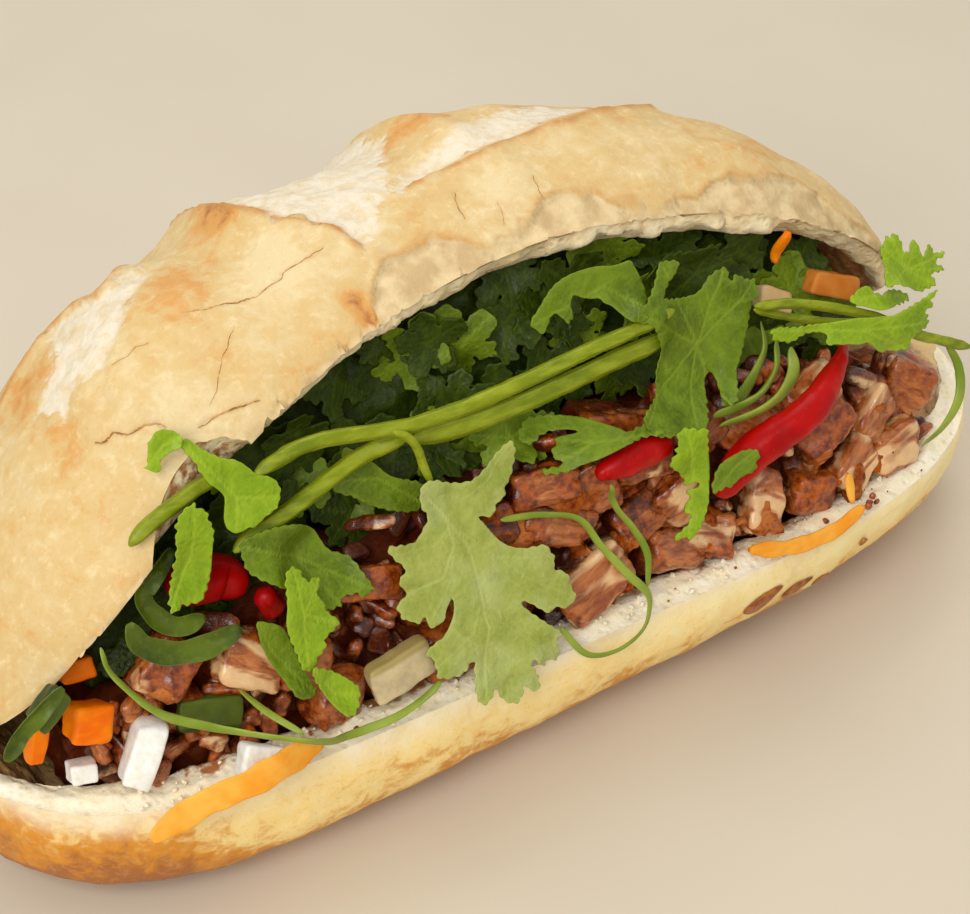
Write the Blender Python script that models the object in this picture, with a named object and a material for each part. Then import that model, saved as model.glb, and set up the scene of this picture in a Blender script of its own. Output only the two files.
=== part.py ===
"""A banh mi: a crusty roll slit along its front and packed with roast pork, pickles, chilli,
spring onion and coriander.

Run it with blender --background --python part.py, or from Blender's text editor.

Lengths in this script are millimetres, and make_object turns them into metres. X runs along the
roll, the mouth faces -Y and +Z is up. The origin is on the flat spot that the roll rests on.

The filling is laid out in the mouth frame: x along the roll, w up the mouth from the lower rim
towards the lid, and n straight out of the mouth. Pieces are laid one after another on a map of
the heights below them, so that each one rests on the pile and none cuts into another.
"""

import math
import random

import bmesh
import bpy
import numpy as np
from mathutils import Matrix, Vector
from mathutils.bvhtree import BVHTree

MM = 0.001

# The roll's driving sizes
ROLL_HALF_LENGTH = 109.5
ROLL_CENTRE_X = 3.0
HALF_WIDTH = 40.5
RIM_HEIGHT = 28.5
TIP_FULLNESS = 3.9
FRONT_LEFT_FULLNESS = 5.5
BOW = 3.0
FLAT_SPOT = 0.5
LID_LEFT = -106.0
LID_RIGHT = 98.0
HINGE_SHARE = 0.97

# Along the roll, at these shares of its half length, the lid's height and how far it is open
STATIONS = (-1.0, -0.5, 0.0, 0.5, 1.0)
LID_HEIGHTS = (33.8, 38.0, 38.7, 35.0, 27.0)
LID_ANGLES = (18.9, 43.2, 53.8, 48.8, 34.3)

# How square the underside is, at the same stations
UNDERSIDE_POWERS = (4.6, 4.2, 3.2, 2.4, 2.0)

# The lid's front edge is broken away by this much, in millimetres up the crust, at these x
BREAK_X = (-79.0, -71.0, -65.0, -58.0, -51.0, -44.0)
BREAK_LIFT = (0.0, 3.0, 7.5, 7.0, 3.0, 0.0)

# How far the lid's crust stands out along the roll, at these places, where its cuts have opened
SCORE_LEAN = 12.0
SCORE_AT = (-90.0, -75.0, -57.0, -49.0, -44.0, -40.0, -36.0, -28.0, -20.0, -11.0, -7.0, -4.0, 0.0, 6.0, 15.0, 25.0, 70.0, 90.0)
SCORE_RELIEF = (0.0, 3.2, 0.6, -2.1, -2.1, 0.0, 0.5, -1.9, -2.9, -3.3, -2.6, -1.0, 1.2, 0.2, -0.2, -1.2, -2.0, -1.0)

# The crumb
RIM_WIDTH = 8.5
LOWER_FLOOR = 10.0
LID_CRUMB = 13.0
HINGE_WEB = 4.0
SHUT_BELOW = 6.0
HOLLOW_GROWS_OVER = 18.0

# The roll's mesh
SECTIONS = 33
OUTER_POINTS = 17
INNER_POINTS = 9
TIP_SHARE = 0.985

# The mouth frame
MOUTH_ORIGIN = (0.0, -37.0, 28.0)
MOUTH_TILT = math.radians(63.0)

# The map of heights
CELL = 0.75
MAP_X = (-118.0, 126.0)
MAP_W = (-34.0, 92.0)
NOTHING_BELOW = -60.0
HIGH_ABOVE = 150.0

# Clearances between solids
GAP = 0.35
WALL_GAP = 0.8

COLOURS = {
    "crust": (0.78, 0.52, 0.24, 0.62),
    "pork": (0.36, 0.12, 0.05, 0.38),
    "leaf": (0.16, 0.34, 0.03, 0.45),
    "stem": (0.38, 0.50, 0.07, 0.40),
    "onion": (0.14, 0.32, 0.04, 0.35),
    "chilli": (0.70, 0.01, 0.01, 0.22),
    "carrot": (0.90, 0.28, 0.02, 0.35),
    "daikon": (0.82, 0.80, 0.74, 0.35),
    "cucumber": (0.12, 0.22, 0.05, 0.30),
}


def spline(stations, values, at):
    """A smooth curve through values at stations, read at one place."""
    stations = np.asarray(stations, float)
    values = np.asarray(values, float)
    slopes = np.gradient(values, stations)
    i = int(np.clip(np.searchsorted(stations, at, side="right") - 1, 0, len(stations) - 2))
    span = stations[i + 1] - stations[i]
    t = (at - stations[i]) / span
    start = (2 * t**3 - 3 * t**2 + 1) * values[i] + (t**3 - 2 * t**2 + t) * span * slopes[i]
    end = (3 * t**2 - 2 * t**3) * values[i + 1] + (t**3 - t**2) * span * slopes[i + 1]
    return start + end


def smooth(share):
    share = min(max(share, 0.0), 1.0)
    return share * share * (3 - 2 * share)


def material(name):
    made = bpy.data.materials.get(name)
    if made is None:
        red, green, blue, roughness = COLOURS[name]
        made = bpy.data.materials.new(name)
        made.use_nodes = True
        shader = made.node_tree.nodes["Principled BSDF"]
        shader.inputs["Base Color"].default_value = (red, green, blue, 1)
        shader.inputs["Roughness"].default_value = roughness
        shader.inputs["Metallic"].default_value = 0
        made.diffuse_color = (red, green, blue, 1)
    return made


def make_object(name, points, faces, finish, parent=None):
    """A mesh object from points in millimetres, with its faces turned outwards."""
    mesh = bpy.data.meshes.new(name)
    mesh.from_pydata([Vector(p) * MM for p in points], [], [list(f) for f in faces])
    shell = bmesh.new()
    shell.from_mesh(mesh)
    bmesh.ops.recalc_face_normals(shell, faces=shell.faces)
    bmesh.ops.triangulate(shell, faces=shell.faces)
    shell.to_mesh(mesh)
    shell.free()
    mesh.materials.append(material(finish))
    mesh.shade_smooth()
    mesh.set_sharp_from_angle(angle=math.radians(35))
    made = bpy.data.objects.new(name, mesh)
    bpy.context.scene.collection.objects.link(made)
    made.parent = parent
    return made


def mesh_arrays(made):
    """An object's points in millimetres, in its own frame, and its triangles."""
    mesh = made.data
    points = np.empty(len(mesh.vertices) * 3)
    mesh.vertices.foreach_get("co", points)
    faces = [tuple(p.vertices) for p in mesh.polygons]
    return points.reshape(-1, 3) / MM, faces


# The roll


def along_roll(x):
    """The place along the lower half, from -1 at its left tip to 1 at its right."""
    return min(max((x - ROLL_CENTRE_X) / ROLL_HALF_LENGTH, -1.0), 1.0)


def half_width(x):
    return HALF_WIDTH * (1 - abs(along_roll(x)) ** TIP_FULLNESS) ** (1 / 1.9)


def front_width(x):
    """How far the lower rim reaches forward, which is a little more at the left end."""
    fullness = FRONT_LEFT_FULLNESS if x < ROLL_CENTRE_X else TIP_FULLNESS
    return HALF_WIDTH * (1 - abs(along_roll(x)) ** fullness) ** (1 / 1.9)


def middle_y(x):
    return BOW * (1 - along_roll(x) ** 2)


def lid_half_width(x):
    centre = (LID_LEFT + LID_RIGHT) / 2
    share = min(abs(x - centre) / (LID_RIGHT - centre), 1.0)
    return HALF_WIDTH * (1 - share**TIP_FULLNESS) ** (1 / 1.9)


def lid_height(x):
    full = spline(STATIONS, LID_HEIGHTS, along_roll(x))
    return full * (lid_half_width(x) / HALF_WIDTH) ** 0.86


def open_lid(x, y, z):
    """Turns a point of the shut lid, with z above the cut, about the hinge."""
    angle = math.radians(spline(STATIONS, LID_ANGLES, along_roll(x)))
    hinge = middle_y(x) + HINGE_SHARE * half_width(x)
    dy = y - hinge
    return (
        x,
        hinge + dy * math.cos(angle) + z * math.sin(angle),
        RIM_HEIGHT - dy * math.sin(angle) + z * math.cos(angle),
    )


def score_relief(x, side):
    """How far the crust stands out, in millimetres, where the baker's cuts cross the lid.

    side runs from -1 at the front edge of the lid to 1 at its back.
    """
    across = min(max(x + SCORE_LEAN * side, SCORE_AT[0]), SCORE_AT[-1])
    return spline(SCORE_AT, SCORE_RELIEF, across) * (1 - side**4)


def front_side(x):
    """The side value at which the lid's crust ends, above -1 where the edge is broken away."""
    lift = spline(BREAK_X, BREAK_LIFT, x) if BREAK_X[0] < x < BREAK_X[-1] else 0.0
    return -((1 - (lift / lid_height(x)) ** 2) ** (1 / 2.4))


def spread(count):
    """Shares from -1 to 1, closer together towards both ends."""
    return [math.sin(math.pi / 2 * (2 * i / (count - 1) - 1)) for i in range(count)]


def crumb_width(width):
    """The half width inside the rim."""
    return max(width - RIM_WIDTH, 0.2 * width)


def hollow_share(inner):
    return smooth((inner - SHUT_BELOW) / HOLLOW_GROWS_OVER)


def lower_ring(x, grow):
    """The lower half's section at x: the crust from the front rim to the back, then the crumb."""
    power = spline(STATIONS, UNDERSIDE_POWERS, along_roll(x))
    thin = (half_width(x) / HALF_WIDTH) ** 0.3
    depth = (RIM_HEIGHT - LOWER_FLOOR) * hollow_share(crumb_width(half_width(x)))
    ring = []
    for side in spread(OUTER_POINTS):
        width = (front_width(x) if side < 0 else half_width(x)) + grow
        height = RIM_HEIGHT - RIM_HEIGHT * (1 - abs(side) ** power) ** (1 / power) * thin
        height = 0.0 if height < FLAT_SPOT else height
        ring.append((x, middle_y(x) + side * width, height - (grow if abs(side) < 1 else 0)))
    for side in reversed(spread(INNER_POINTS)):
        width = front_width(x) if side < 0 else half_width(x)
        height = RIM_HEIGHT - depth * (1 - abs(side) ** 3) ** 0.4
        ring.append((x, middle_y(x) + side * max(crumb_width(width) - grow, 0.1 * width), height + grow))
    return ring


def lid_ring(x, grow):
    """The lid's section at x: the crust from the hinge over the crown to the front, then the crumb."""
    width = lid_half_width(x)
    crown = lid_height(x)
    inner = crumb_width(width)
    depth = max(crown - LID_CRUMB, 0.0) * hollow_share(inner)
    web = HINGE_WEB * hollow_share(inner)
    front = front_side(x)
    shut = [(middle_y(x) + width + grow, -web)]
    for share in reversed(spread(OUTER_POINTS)):
        side = front + (share + 1) * (1 - front) / 2
        swell = 1 + (score_relief(x, side) * width / HALF_WIDTH + grow) / crown
        shut.append((middle_y(x) + side * width * swell, crown * swell * (1 - abs(side) ** 2.4) ** 0.5))
    for share in spread(INNER_POINTS):
        side = front + (share + 1) * (1 - front) / 2
        height = depth * (1 - abs(side) ** 2.6) ** 0.5 - grow
        shut.append((middle_y(x) + side * max(inner - grow, 0.1 * width), height))
    shut.append((middle_y(x) + inner - grow, -web))
    return [open_lid(x, y, z) for y, z in shut]


def loft(rings):
    """Points and faces of the closed solid through rings that all have the same count."""
    size = len(rings[0])
    points = [p for ring in rings for p in ring]
    faces = [tuple(range(size)), tuple(range(len(points) - size, len(points)))]
    for r in range(len(rings) - 1):
        for i in range(size):
            j = (i + 1) % size
            faces.append((r * size + i, r * size + j, (r + 1) * size + j, (r + 1) * size + i))
    return points, faces


def half_roll(ring_at, left, right, grow=0.0):
    centre = (left + right) / 2
    reach = (right - left) / 2 * TIP_SHARE
    return loft([ring_at(centre + reach * share, grow) for share in spread(SECTIONS)])


def lower_half(grow=0.0):
    left = ROLL_CENTRE_X - ROLL_HALF_LENGTH
    return half_roll(lower_ring, left, ROLL_CENTRE_X + ROLL_HALF_LENGTH, grow)


def lid_half(grow=0.0):
    return half_roll(lid_ring, LID_LEFT, LID_RIGHT, grow)


def apply_modifiers(made):
    graph = bpy.context.evaluated_depsgraph_get()
    baked = bpy.data.meshes.new_from_object(made.evaluated_get(graph))
    made.modifiers.clear()
    made.data = baked


def unite(made, others, solver="EXACT"):
    """Joins the others to made with one Boolean union, and removes them."""
    group = bpy.data.collections.new(made.name + "_pieces")
    bpy.context.scene.collection.children.link(group)
    for other in others:
        bpy.context.scene.collection.objects.unlink(other)
        group.objects.link(other)
    join = made.modifiers.new("join", "BOOLEAN")
    join.operation = "UNION"
    join.operand_type = "COLLECTION"
    join.collection = group
    join.solver = solver
    bpy.context.view_layer.update()
    apply_modifiers(made)
    for other in others:
        bpy.data.objects.remove(other)
    bpy.data.collections.remove(group)


def cut_away(made, cutters, solver="EXACT"):
    for cutter in cutters:
        cut = made.modifiers.new("cut", "BOOLEAN")
        cut.operation = "DIFFERENCE"
        cut.object = cutter
        cut.solver = solver
        bpy.context.view_layer.update()
        apply_modifiers(made)


def keep_largest(made):
    """Drops the loose scraps that a cut has left, and keeps the biggest body."""
    shell = bmesh.new()
    shell.from_mesh(made.data)
    left = set(shell.verts)
    bodies = []
    while left:
        body = {left.pop()}
        edge = list(body)
        while edge:
            for link in edge.pop().link_edges:
                for vert in link.verts:
                    if vert in left:
                        left.discard(vert)
                        body.add(vert)
                        edge.append(vert)
        bodies.append(body)
    bodies.sort(key=len, reverse=True)
    for body in bodies[1:]:
        bmesh.ops.delete(shell, geom=list(body), context="VERTS")
    shell.to_mesh(made.data)
    shell.free()


def build_bread():
    bread = make_object("bread", *lower_half(), "crust")
    lid = make_object("lid", *lid_half(), "crust")
    unite(bread, [lid])
    return bread


# The mouth frame


def mouth_matrix():
    place = Matrix.Translation(Vector(MOUTH_ORIGIN) * MM)
    return place @ Matrix.Rotation(MOUTH_TILT, 4, "X")


def to_mouth(points):
    """World points, in millimetres, as x, w and n."""
    turn = np.array(Matrix.Rotation(MOUTH_TILT, 3, "X"))
    return (np.asarray(points, float) - np.array(MOUTH_ORIGIN)) @ turn


def rim_n(x):
    """The height of the lower rim's outer edge in the mouth frame."""
    setback = middle_y(x) - front_width(x) - MOUTH_ORIGIN[1]
    return -setback * math.sin(MOUTH_TILT)


def rim_w(x):
    setback = middle_y(x) - front_width(x) - MOUTH_ORIGIN[1]
    return setback * math.cos(MOUTH_TILT)


def lid_edge_w(x):
    edge = open_lid(x, middle_y(x) - lid_half_width(x), 0.0)
    return to_mouth([edge])[0][1]


class HeightMap:
    """The height n of what lies below, over the x and w of the mouth frame."""

    def __init__(self):
        self.columns = int((MAP_X[1] - MAP_X[0]) / CELL)
        self.rows = int((MAP_W[1] - MAP_W[0]) / CELL)
        self.top = np.full((self.columns, self.rows), NOTHING_BELOW)

    def cells(self, points, margin=0):
        """The range of cells that points cover."""
        low = np.floor((points[:, :2].min(0) - (MAP_X[0], MAP_W[0])) / CELL).astype(int) - margin
        high = np.ceil((points[:, :2].max(0) - (MAP_X[0], MAP_W[0])) / CELL).astype(int) + margin
        low = np.clip(low, 0, (self.columns - 1, self.rows - 1))
        high = np.clip(high, 0, (self.columns - 1, self.rows - 1))
        return low, high

    def hits(self, tree, low, high, from_above):
        """Where vertical rays through these cells first meet a mesh, or None."""
        start, down = (HIGH_ABOVE, -1) if from_above else (-HIGH_ABOVE, 1)
        for i in range(low[0], high[0] + 1):
            x = MAP_X[0] + i * CELL
            for j in range(low[1], high[1] + 1):
                origin = Vector((x, MAP_W[0] + j * CELL, start))
                spot = tree.ray_cast(origin, Vector((0, 0, down)))[0]
                if spot is not None:
                    yield i, j, spot.z

    def add(self, points, faces):
        tree = BVHTree.FromPolygons([Vector(p) for p in points], faces)
        low, high = self.cells(points)
        for i, j, height in self.hits(tree, low, high, True):
            self.top[i, j] = max(self.top[i, j], height)

    def widened(self, radius):
        """The highest value within radius of each cell, then blurred, so never below the map."""
        steps = max(1, round(radius / CELL))
        grown = box_filter(self.top, steps + 1, np.maximum)
        total = box_filter(grown, steps, np.add)
        return total / (2 * steps + 1) ** 2

    def lift_needed(self, points, faces):
        """How far a mesh must rise to clear the map by the gap, negative where it is clear."""
        tree = BVHTree.FromPolygons([Vector(p) for p in points], faces)
        low, high = self.cells(points)
        reach = box_filter(self.top, 1, np.maximum)
        needed = -HIGH_ABOVE
        for i, j, height in self.hits(tree, low, high, False):
            needed = max(needed, reach[i, j] + GAP - height)
        return needed


def box_filter(grid, steps, merge):
    """Merges each cell with its neighbours within steps, along both axes."""
    result = grid
    for axis in (0, 1):
        padded = np.pad(result, [(steps, steps) if a == axis else (0, 0) for a in (0, 1)], mode="edge")
        length = result.shape[axis]
        total = None
        for k in range(2 * steps + 1):
            part = np.take(padded, range(k, k + length), axis=axis)
            total = part.copy() if total is None else merge(total, part)
        result = total
    return result


def read_map(grid, x, w):
    """A map's value between its cells."""
    column = np.clip((np.asarray(x) - MAP_X[0]) / CELL, 0, grid.shape[0] - 1.001)
    row = np.clip((np.asarray(w) - MAP_W[0]) / CELL, 0, grid.shape[1] - 1.001)
    i, j = column.astype(int), row.astype(int)
    a, b = column - i, row - j
    near = grid[i, j] * (1 - a) + grid[i + 1, j] * a
    far = grid[i, j + 1] * (1 - a) + grid[i + 1, j + 1] * a
    return near * (1 - b) + far * b


# The heaps that fill the roll

CORE_SECTIONS = 15
CORE_POINTS = 12
PORK_REACH = (-90.0, 90.0)
HERB_REACH = (-82.0, 80.0)
SPLIT_SHARE = 0.53
PORK_FRONT = -9.0
PORK_RISE = 0.10
PICKLE_END = -74.0
HERB_FRONT = -14.0
CUBE_SIZES = ((9.5, 13.5), (8.0, 11.0), (8.0, 10.0))
CUBE_PITCH = 11.5
CUBE_ROW_PITCH = 9.0
CUBE_FIRST_ROW = 9.5
CUBE_JITTER = 0.16
CUBE_ROWS = 4
CUBES_A_ROW = 15

# Cubes that show plainly: x, w, the three sizes and the turn in degrees
MAIN_CUBES = (
    (7.1, 9.5, 15.0, 11.0, 11.0, 14.0),
    (1.5, 31.0, 14.0, 7.5, 9.0, -8.0),
    (2.5, 22.5, 15.0, 7.5, 8.0, -14.0),
    (-36.0, 26.0, 14.0, 6.0, 8.0, -24.0),
    (-72.0, 24.5, 11.0, 9.0, 8.0, 28.0),
    (-58.0, 20.5, 13.0, 9.5, 9.0, -22.0),
    (45.4, 11.5, 8.0, 13.0, 10.0, -12.0),
)

# Where pickles lie on the pork's core instead of cubes: x, w and radius
PICKLE_PATCHES = ((-67.0, 12.5, 12.0), (-79.0, 14.0, 9.0), (-34.5, 9.0, 9.0))


def split_w(x):
    """Where the pork below gives way to the herbs above."""
    return rim_w(x) + SPLIT_SHARE * (lid_edge_w(x) - rim_w(x))


def core_rings(reach, centre_at, limits_at, wall):
    """Sections that run from a centre line out to the wall of the roll or to a limiting plane.

    Each limit is (w part, n part, distance from the centre) of a plane's outward normal.
    """
    rings = []
    for share in spread(CORE_SECTIONS):
        x = sum(reach) / 2 + (reach[1] - reach[0]) / 2 * share
        w, n = centre_at(x)
        ring = []
        for k in range(CORE_POINTS):
            angle = 2 * math.pi * k / CORE_POINTS
            along_w, along_n = math.cos(angle), math.sin(angle)
            spot = wall.ray_cast(Vector((x, w, n)), Vector((0, along_w, along_n)))
            radius = HIGH_ABOVE if spot[3] is None else max(spot[3] - WALL_GAP, 0.5)
            for limit_w, limit_n, away in limits_at(x, w, n):
                facing = along_w * limit_w + along_n * limit_n
                if facing > 1e-6:
                    radius = min(radius, away / facing)
            ring.append((x, w + radius * along_w, n + radius * along_n))
        rings.append(ring)
    return rings


def pork_front(x, w):
    """The height of the pork's front."""
    return rim_n(x) + PORK_FRONT + PORK_RISE * (w - rim_w(x))


def pork_centre(x):
    size = half_width(x) / HALF_WIDTH
    return rim_w(x) + 0.28 * (lid_edge_w(x) - rim_w(x)), rim_n(x) - 22.0 * size


def pork_limits(x, w, n):
    slope = math.hypot(1, PORK_RISE)
    return (1, 0, split_w(x) - w), (-PORK_RISE / slope, 1 / slope, (pork_front(x, w) - n) / slope)


def herb_centre(x):
    size = half_width(x) / HALF_WIDTH
    return split_w(x) + 0.22 * (lid_edge_w(x) - rim_w(x)), rim_n(x) + HERB_FRONT - 7.0 * size


def herb_limits(x, w, n):
    return (-1, 0, w - split_w(x) - GAP), (0, 1, rim_n(x) + HERB_FRONT - n)


BOX_FACES = ((0, 1, 3, 2), (4, 6, 7, 5), (0, 4, 5, 1), (2, 3, 7, 6), (0, 2, 6, 4), (1, 5, 7, 3))


def box_points(size, turn, centre, draw=None):
    """The eight corners of a turned box, each nudged where a random draw is given."""
    corners = []
    for i in range(8):
        corner = Vector([(1 if i >> axis & 1 else -1) * size[axis] / 2 for axis in range(3)])
        if draw:
            corner = Vector([c * (1 - draw.uniform(0, CUBE_JITTER)) for c in corner])
        corners.append(turn @ corner + Vector(centre))
    return corners


def random_turn(draw, most):
    angles = [draw.uniform(-most, most) for _ in range(3)]
    return (
        Matrix.Rotation(angles[2] * 2, 3, "Z")
        @ Matrix.Rotation(angles[1], 3, "Y")
        @ Matrix.Rotation(angles[0], 3, "X")
    )


def pork_cubes(draw):
    """The chopped roast pork that shows: the main cubes, then rows of others between them."""
    cubes = []
    for x, w, *size, degrees in MAIN_CUBES:
        turn = Matrix.Rotation(math.radians(degrees), 3, "Z") @ random_turn(draw, 0.12)
        cubes.append((box_points(size, turn, (x, w, pork_front(x, w) + 2.5), draw), BOX_FACES))
    for row in range(CUBE_ROWS):
        for k in range(CUBES_A_ROW):
            x = PICKLE_END + CUBE_PITCH * (k + 0.5 + 0.5 * (row % 2)) + draw.uniform(-2, 2)
            size = [draw.uniform(*span) for span in CUBE_SIZES]
            turn = random_turn(draw, 0.4)
            w = rim_w(x) + CUBE_FIRST_ROW + CUBE_ROW_PITCH * row + draw.uniform(-1.2, 1.2)
            nearest = min(math.dist((x, w), cube[:2]) for cube in MAIN_CUBES)
            clear = min(math.dist((x, w), patch[:2]) - patch[2] for patch in PICKLE_PATCHES)
            if w > split_w(x) - 2 or x > PORK_REACH[1] - 2 or nearest < 9 or clear < 0:
                continue
            n = pork_front(x, w) + draw.uniform(0.5, 2.5)
            cubes.append((box_points(size, turn, (x, w, n), draw), BOX_FACES))
    return cubes


def grown_roll():
    """Cutters the shape of the two halves of the roll, larger all round by the gap."""
    cutters = []
    for name, shape in (("lower_clearance", lower_half(GAP)), ("lid_clearance", lid_half(GAP))):
        cutter = make_object(name, *shape, "crust")
        cutter.hide_render = True
        cutter.display_type = "WIRE"
        cutters.append(cutter)
    return cutters


def build_pork(frame, wall, cutters):
    points, faces = loft(core_rings(PORK_REACH, pork_centre, pork_limits, wall))
    heap = make_object("pork_heap", points, faces, "pork", frame)
    draw = random.Random(7)
    cubes = [make_object(f"cube_{i}", *cube, "pork", frame) for i, cube in enumerate(pork_cubes(draw))]
    unite(heap, cubes)
    cut_away(heap, cutters)
    keep_largest(heap)
    return heap


def build_herbs(frame, wall, cutters):
    """The coriander deep in the mouth: one heap, with the leaves and stem that show fused on it."""
    points, faces = loft(core_rings(HERB_REACH, herb_centre, herb_limits, wall))
    heap = make_object("coriander_heap", points, faces, "leaf", frame)

    def front(flat):
        return np.array([rim_n(x) for x in flat[:, 0]]) + HERB_FRONT - SUNK

    pieces = []
    for i, (wave, centre, lobes) in enumerate(DEEP_LEAVES):
        shape = leaf(front, centre, lobes, HERB_FRONT, wave)
        pieces.append(make_object(f"deep_leaf_{i}", *shape, "leaf", frame))
    shape = tube(front, DEEP_STEM, [DEEP_STEM_WIDTH / 2] * len(DEEP_STEM), HERB_FRONT)
    pieces.append(make_object("deep_stem", *shape, "leaf", frame))
    unite(heap, pieces)
    cut_away(heap, cutters)
    keep_largest(heap)
    return heap


# The loose pieces

SUNK = 0.3
LEAF_THICKNESS = 0.7
LEAF_REACH = 3.0
LEAF_RING = 0.5
TUBE_SIDES = 6
TUBE_STEP = 5.0

# Blocks: finish, height, the two ends of the long axis, width and thickness
BLOCKS = {
    "cucumber_slice_left": ("cucumber", -12, (-72.5, 16.5), (-61.5, 10.5), 7.0, 4.0),
    "cucumber_slice_far": ("cucumber", -14, (-97.0, 25.0), (-89.5, 28.0), 5.0, 4.0),
    "cucumber_slice_front": ("cucumber", -12, (-41.0, 7.5), (-28.0, 12.5), 8.0, 4.5),
    "daikon_left": ("daikon", -12, (-92.0, 12.0), (-86.5, 9.8), 4.5, 6.0),
    "daikon_stick": ("daikon", -12, (-77.2, 18.0), (-82.8, 6.2), 6.0, 8.0),
    "daikon_front": ("daikon", -12, (-67.5, 7.0), (-59.0, 3.8), 7.0, 5.0),
    "carrot_stick_left": ("carrot", -12, (-93.8, 22.2), (-95.4, 13.4), 3.4, 6.0),
    "carrot_chunk_left": ("carrot", -12, (-90.6, 21.6), (-82.8, 18.4), 7.6, 9.0),
    "carrot_chunk_upper": ("carrot", -12, (-88.0, 28.4), (-81.5, 26.6), 4.5, 7.0),
    "daikon_under_lid": ("daikon", -12, (56.5, 46.6), (65.5, 44.0), 5.0, 6.0),
    "carrot_slice_under_lid": ("carrot", -12, (66.0, 47.5), (78.0, 43.0), 6.0, 5.0),
}

# Chillies: height, the points of the middle line and the radius at each
CHILLIES = {
    "chilli_left": (
        -8, ((-68.3, 37.1), (-64.5, 36.5), (-59.0, 35.3), (-54.8, 32.2)), (2.8, 4.3, 4.5, 2.6)),
    "chilli_small_left": (-8, ((-54.8, 32.8), (-51.7, 26.8)), (2.2, 2.4)),
    "chilli_middle": (-8, ((8.4, 31.0), (14.0, 31.7), (20.0, 32.0), (25.9, 31.5)), (1.2, 3.2, 3.5, 2.2)),
    "chilli_long": (
        -6,
        ((32.3, 18.5), (38.7, 23.1), (48.2, 27.0), (56.1, 29.9), (63.0, 32.7), (69.3, 35.8)),
        (2.4, 3.7, 3.6, 3.1, 2.0, 0.5),
    ),
}

# Leaves deep in the mouth: wave, centre, and each lobe's tip, width and the notch after it
DEEP_LEAVES = (
    (
        0.8, (-23.3, 56.5),
        (
            (-28.0, 55.3, 5, 0.7), (-21.2, 61.4, 5, 0.7), (-17.3, 56.9, 5, 0.6), (-19.1, 51.9, 5, 0.6),
        ),
    ),
    (
        0.8, (-3.9, 56.5),
        (
            (-16.1, 61.4, 7, 0.6), (-14.3, 52.1, 6, 0.6), (-3.4, 47.3, 7, 0.6), (6.0, 49.8, 7, 0.6),
            (13.2, 54.7, 7, 0.6), (2.9, 62.7, 8, 0.6), (-8.0, 63.7, 7, 0.6),
        ),
    ),
    (
        0.8, (24.9, 47.9),
        (
            (13.3, 48.8, 7, 0.6), (17.6, 53.1, 6, 0.6), (28.7, 54.4, 8, 0.6), (33.4, 47.1, 8, 0.6),
            (27.3, 40.3, 7, 0.6),
        ),
    ),
    (
        0.8, (6.4, 62.6),
        (
            (0.6, 65.5, 5, 0.6), (3.7, 60.1, 5, 0.6), (11.8, 60.9, 5, 0.6), (11.2, 64.8, 5, 0.6),
        ),
    ),
    (
        0.8, (49.2, 56.3),
        (
            (38.6, 58.4, 7, 0.6), (50.3, 60.6, 8, 0.7), (61.3, 56.9, 8, 0.7), (59.5, 51.5, 6, 0.6),
            (46.1, 52.8, 6, 0.6),
        ),
    ),
)
DEEP_STEM = ((-13.3, 59.5), (-14.0, 56.1), (-16.2, 52.6), (-19.3, 50.0))
DEEP_STEM_WIDTH = 1.8

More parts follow.
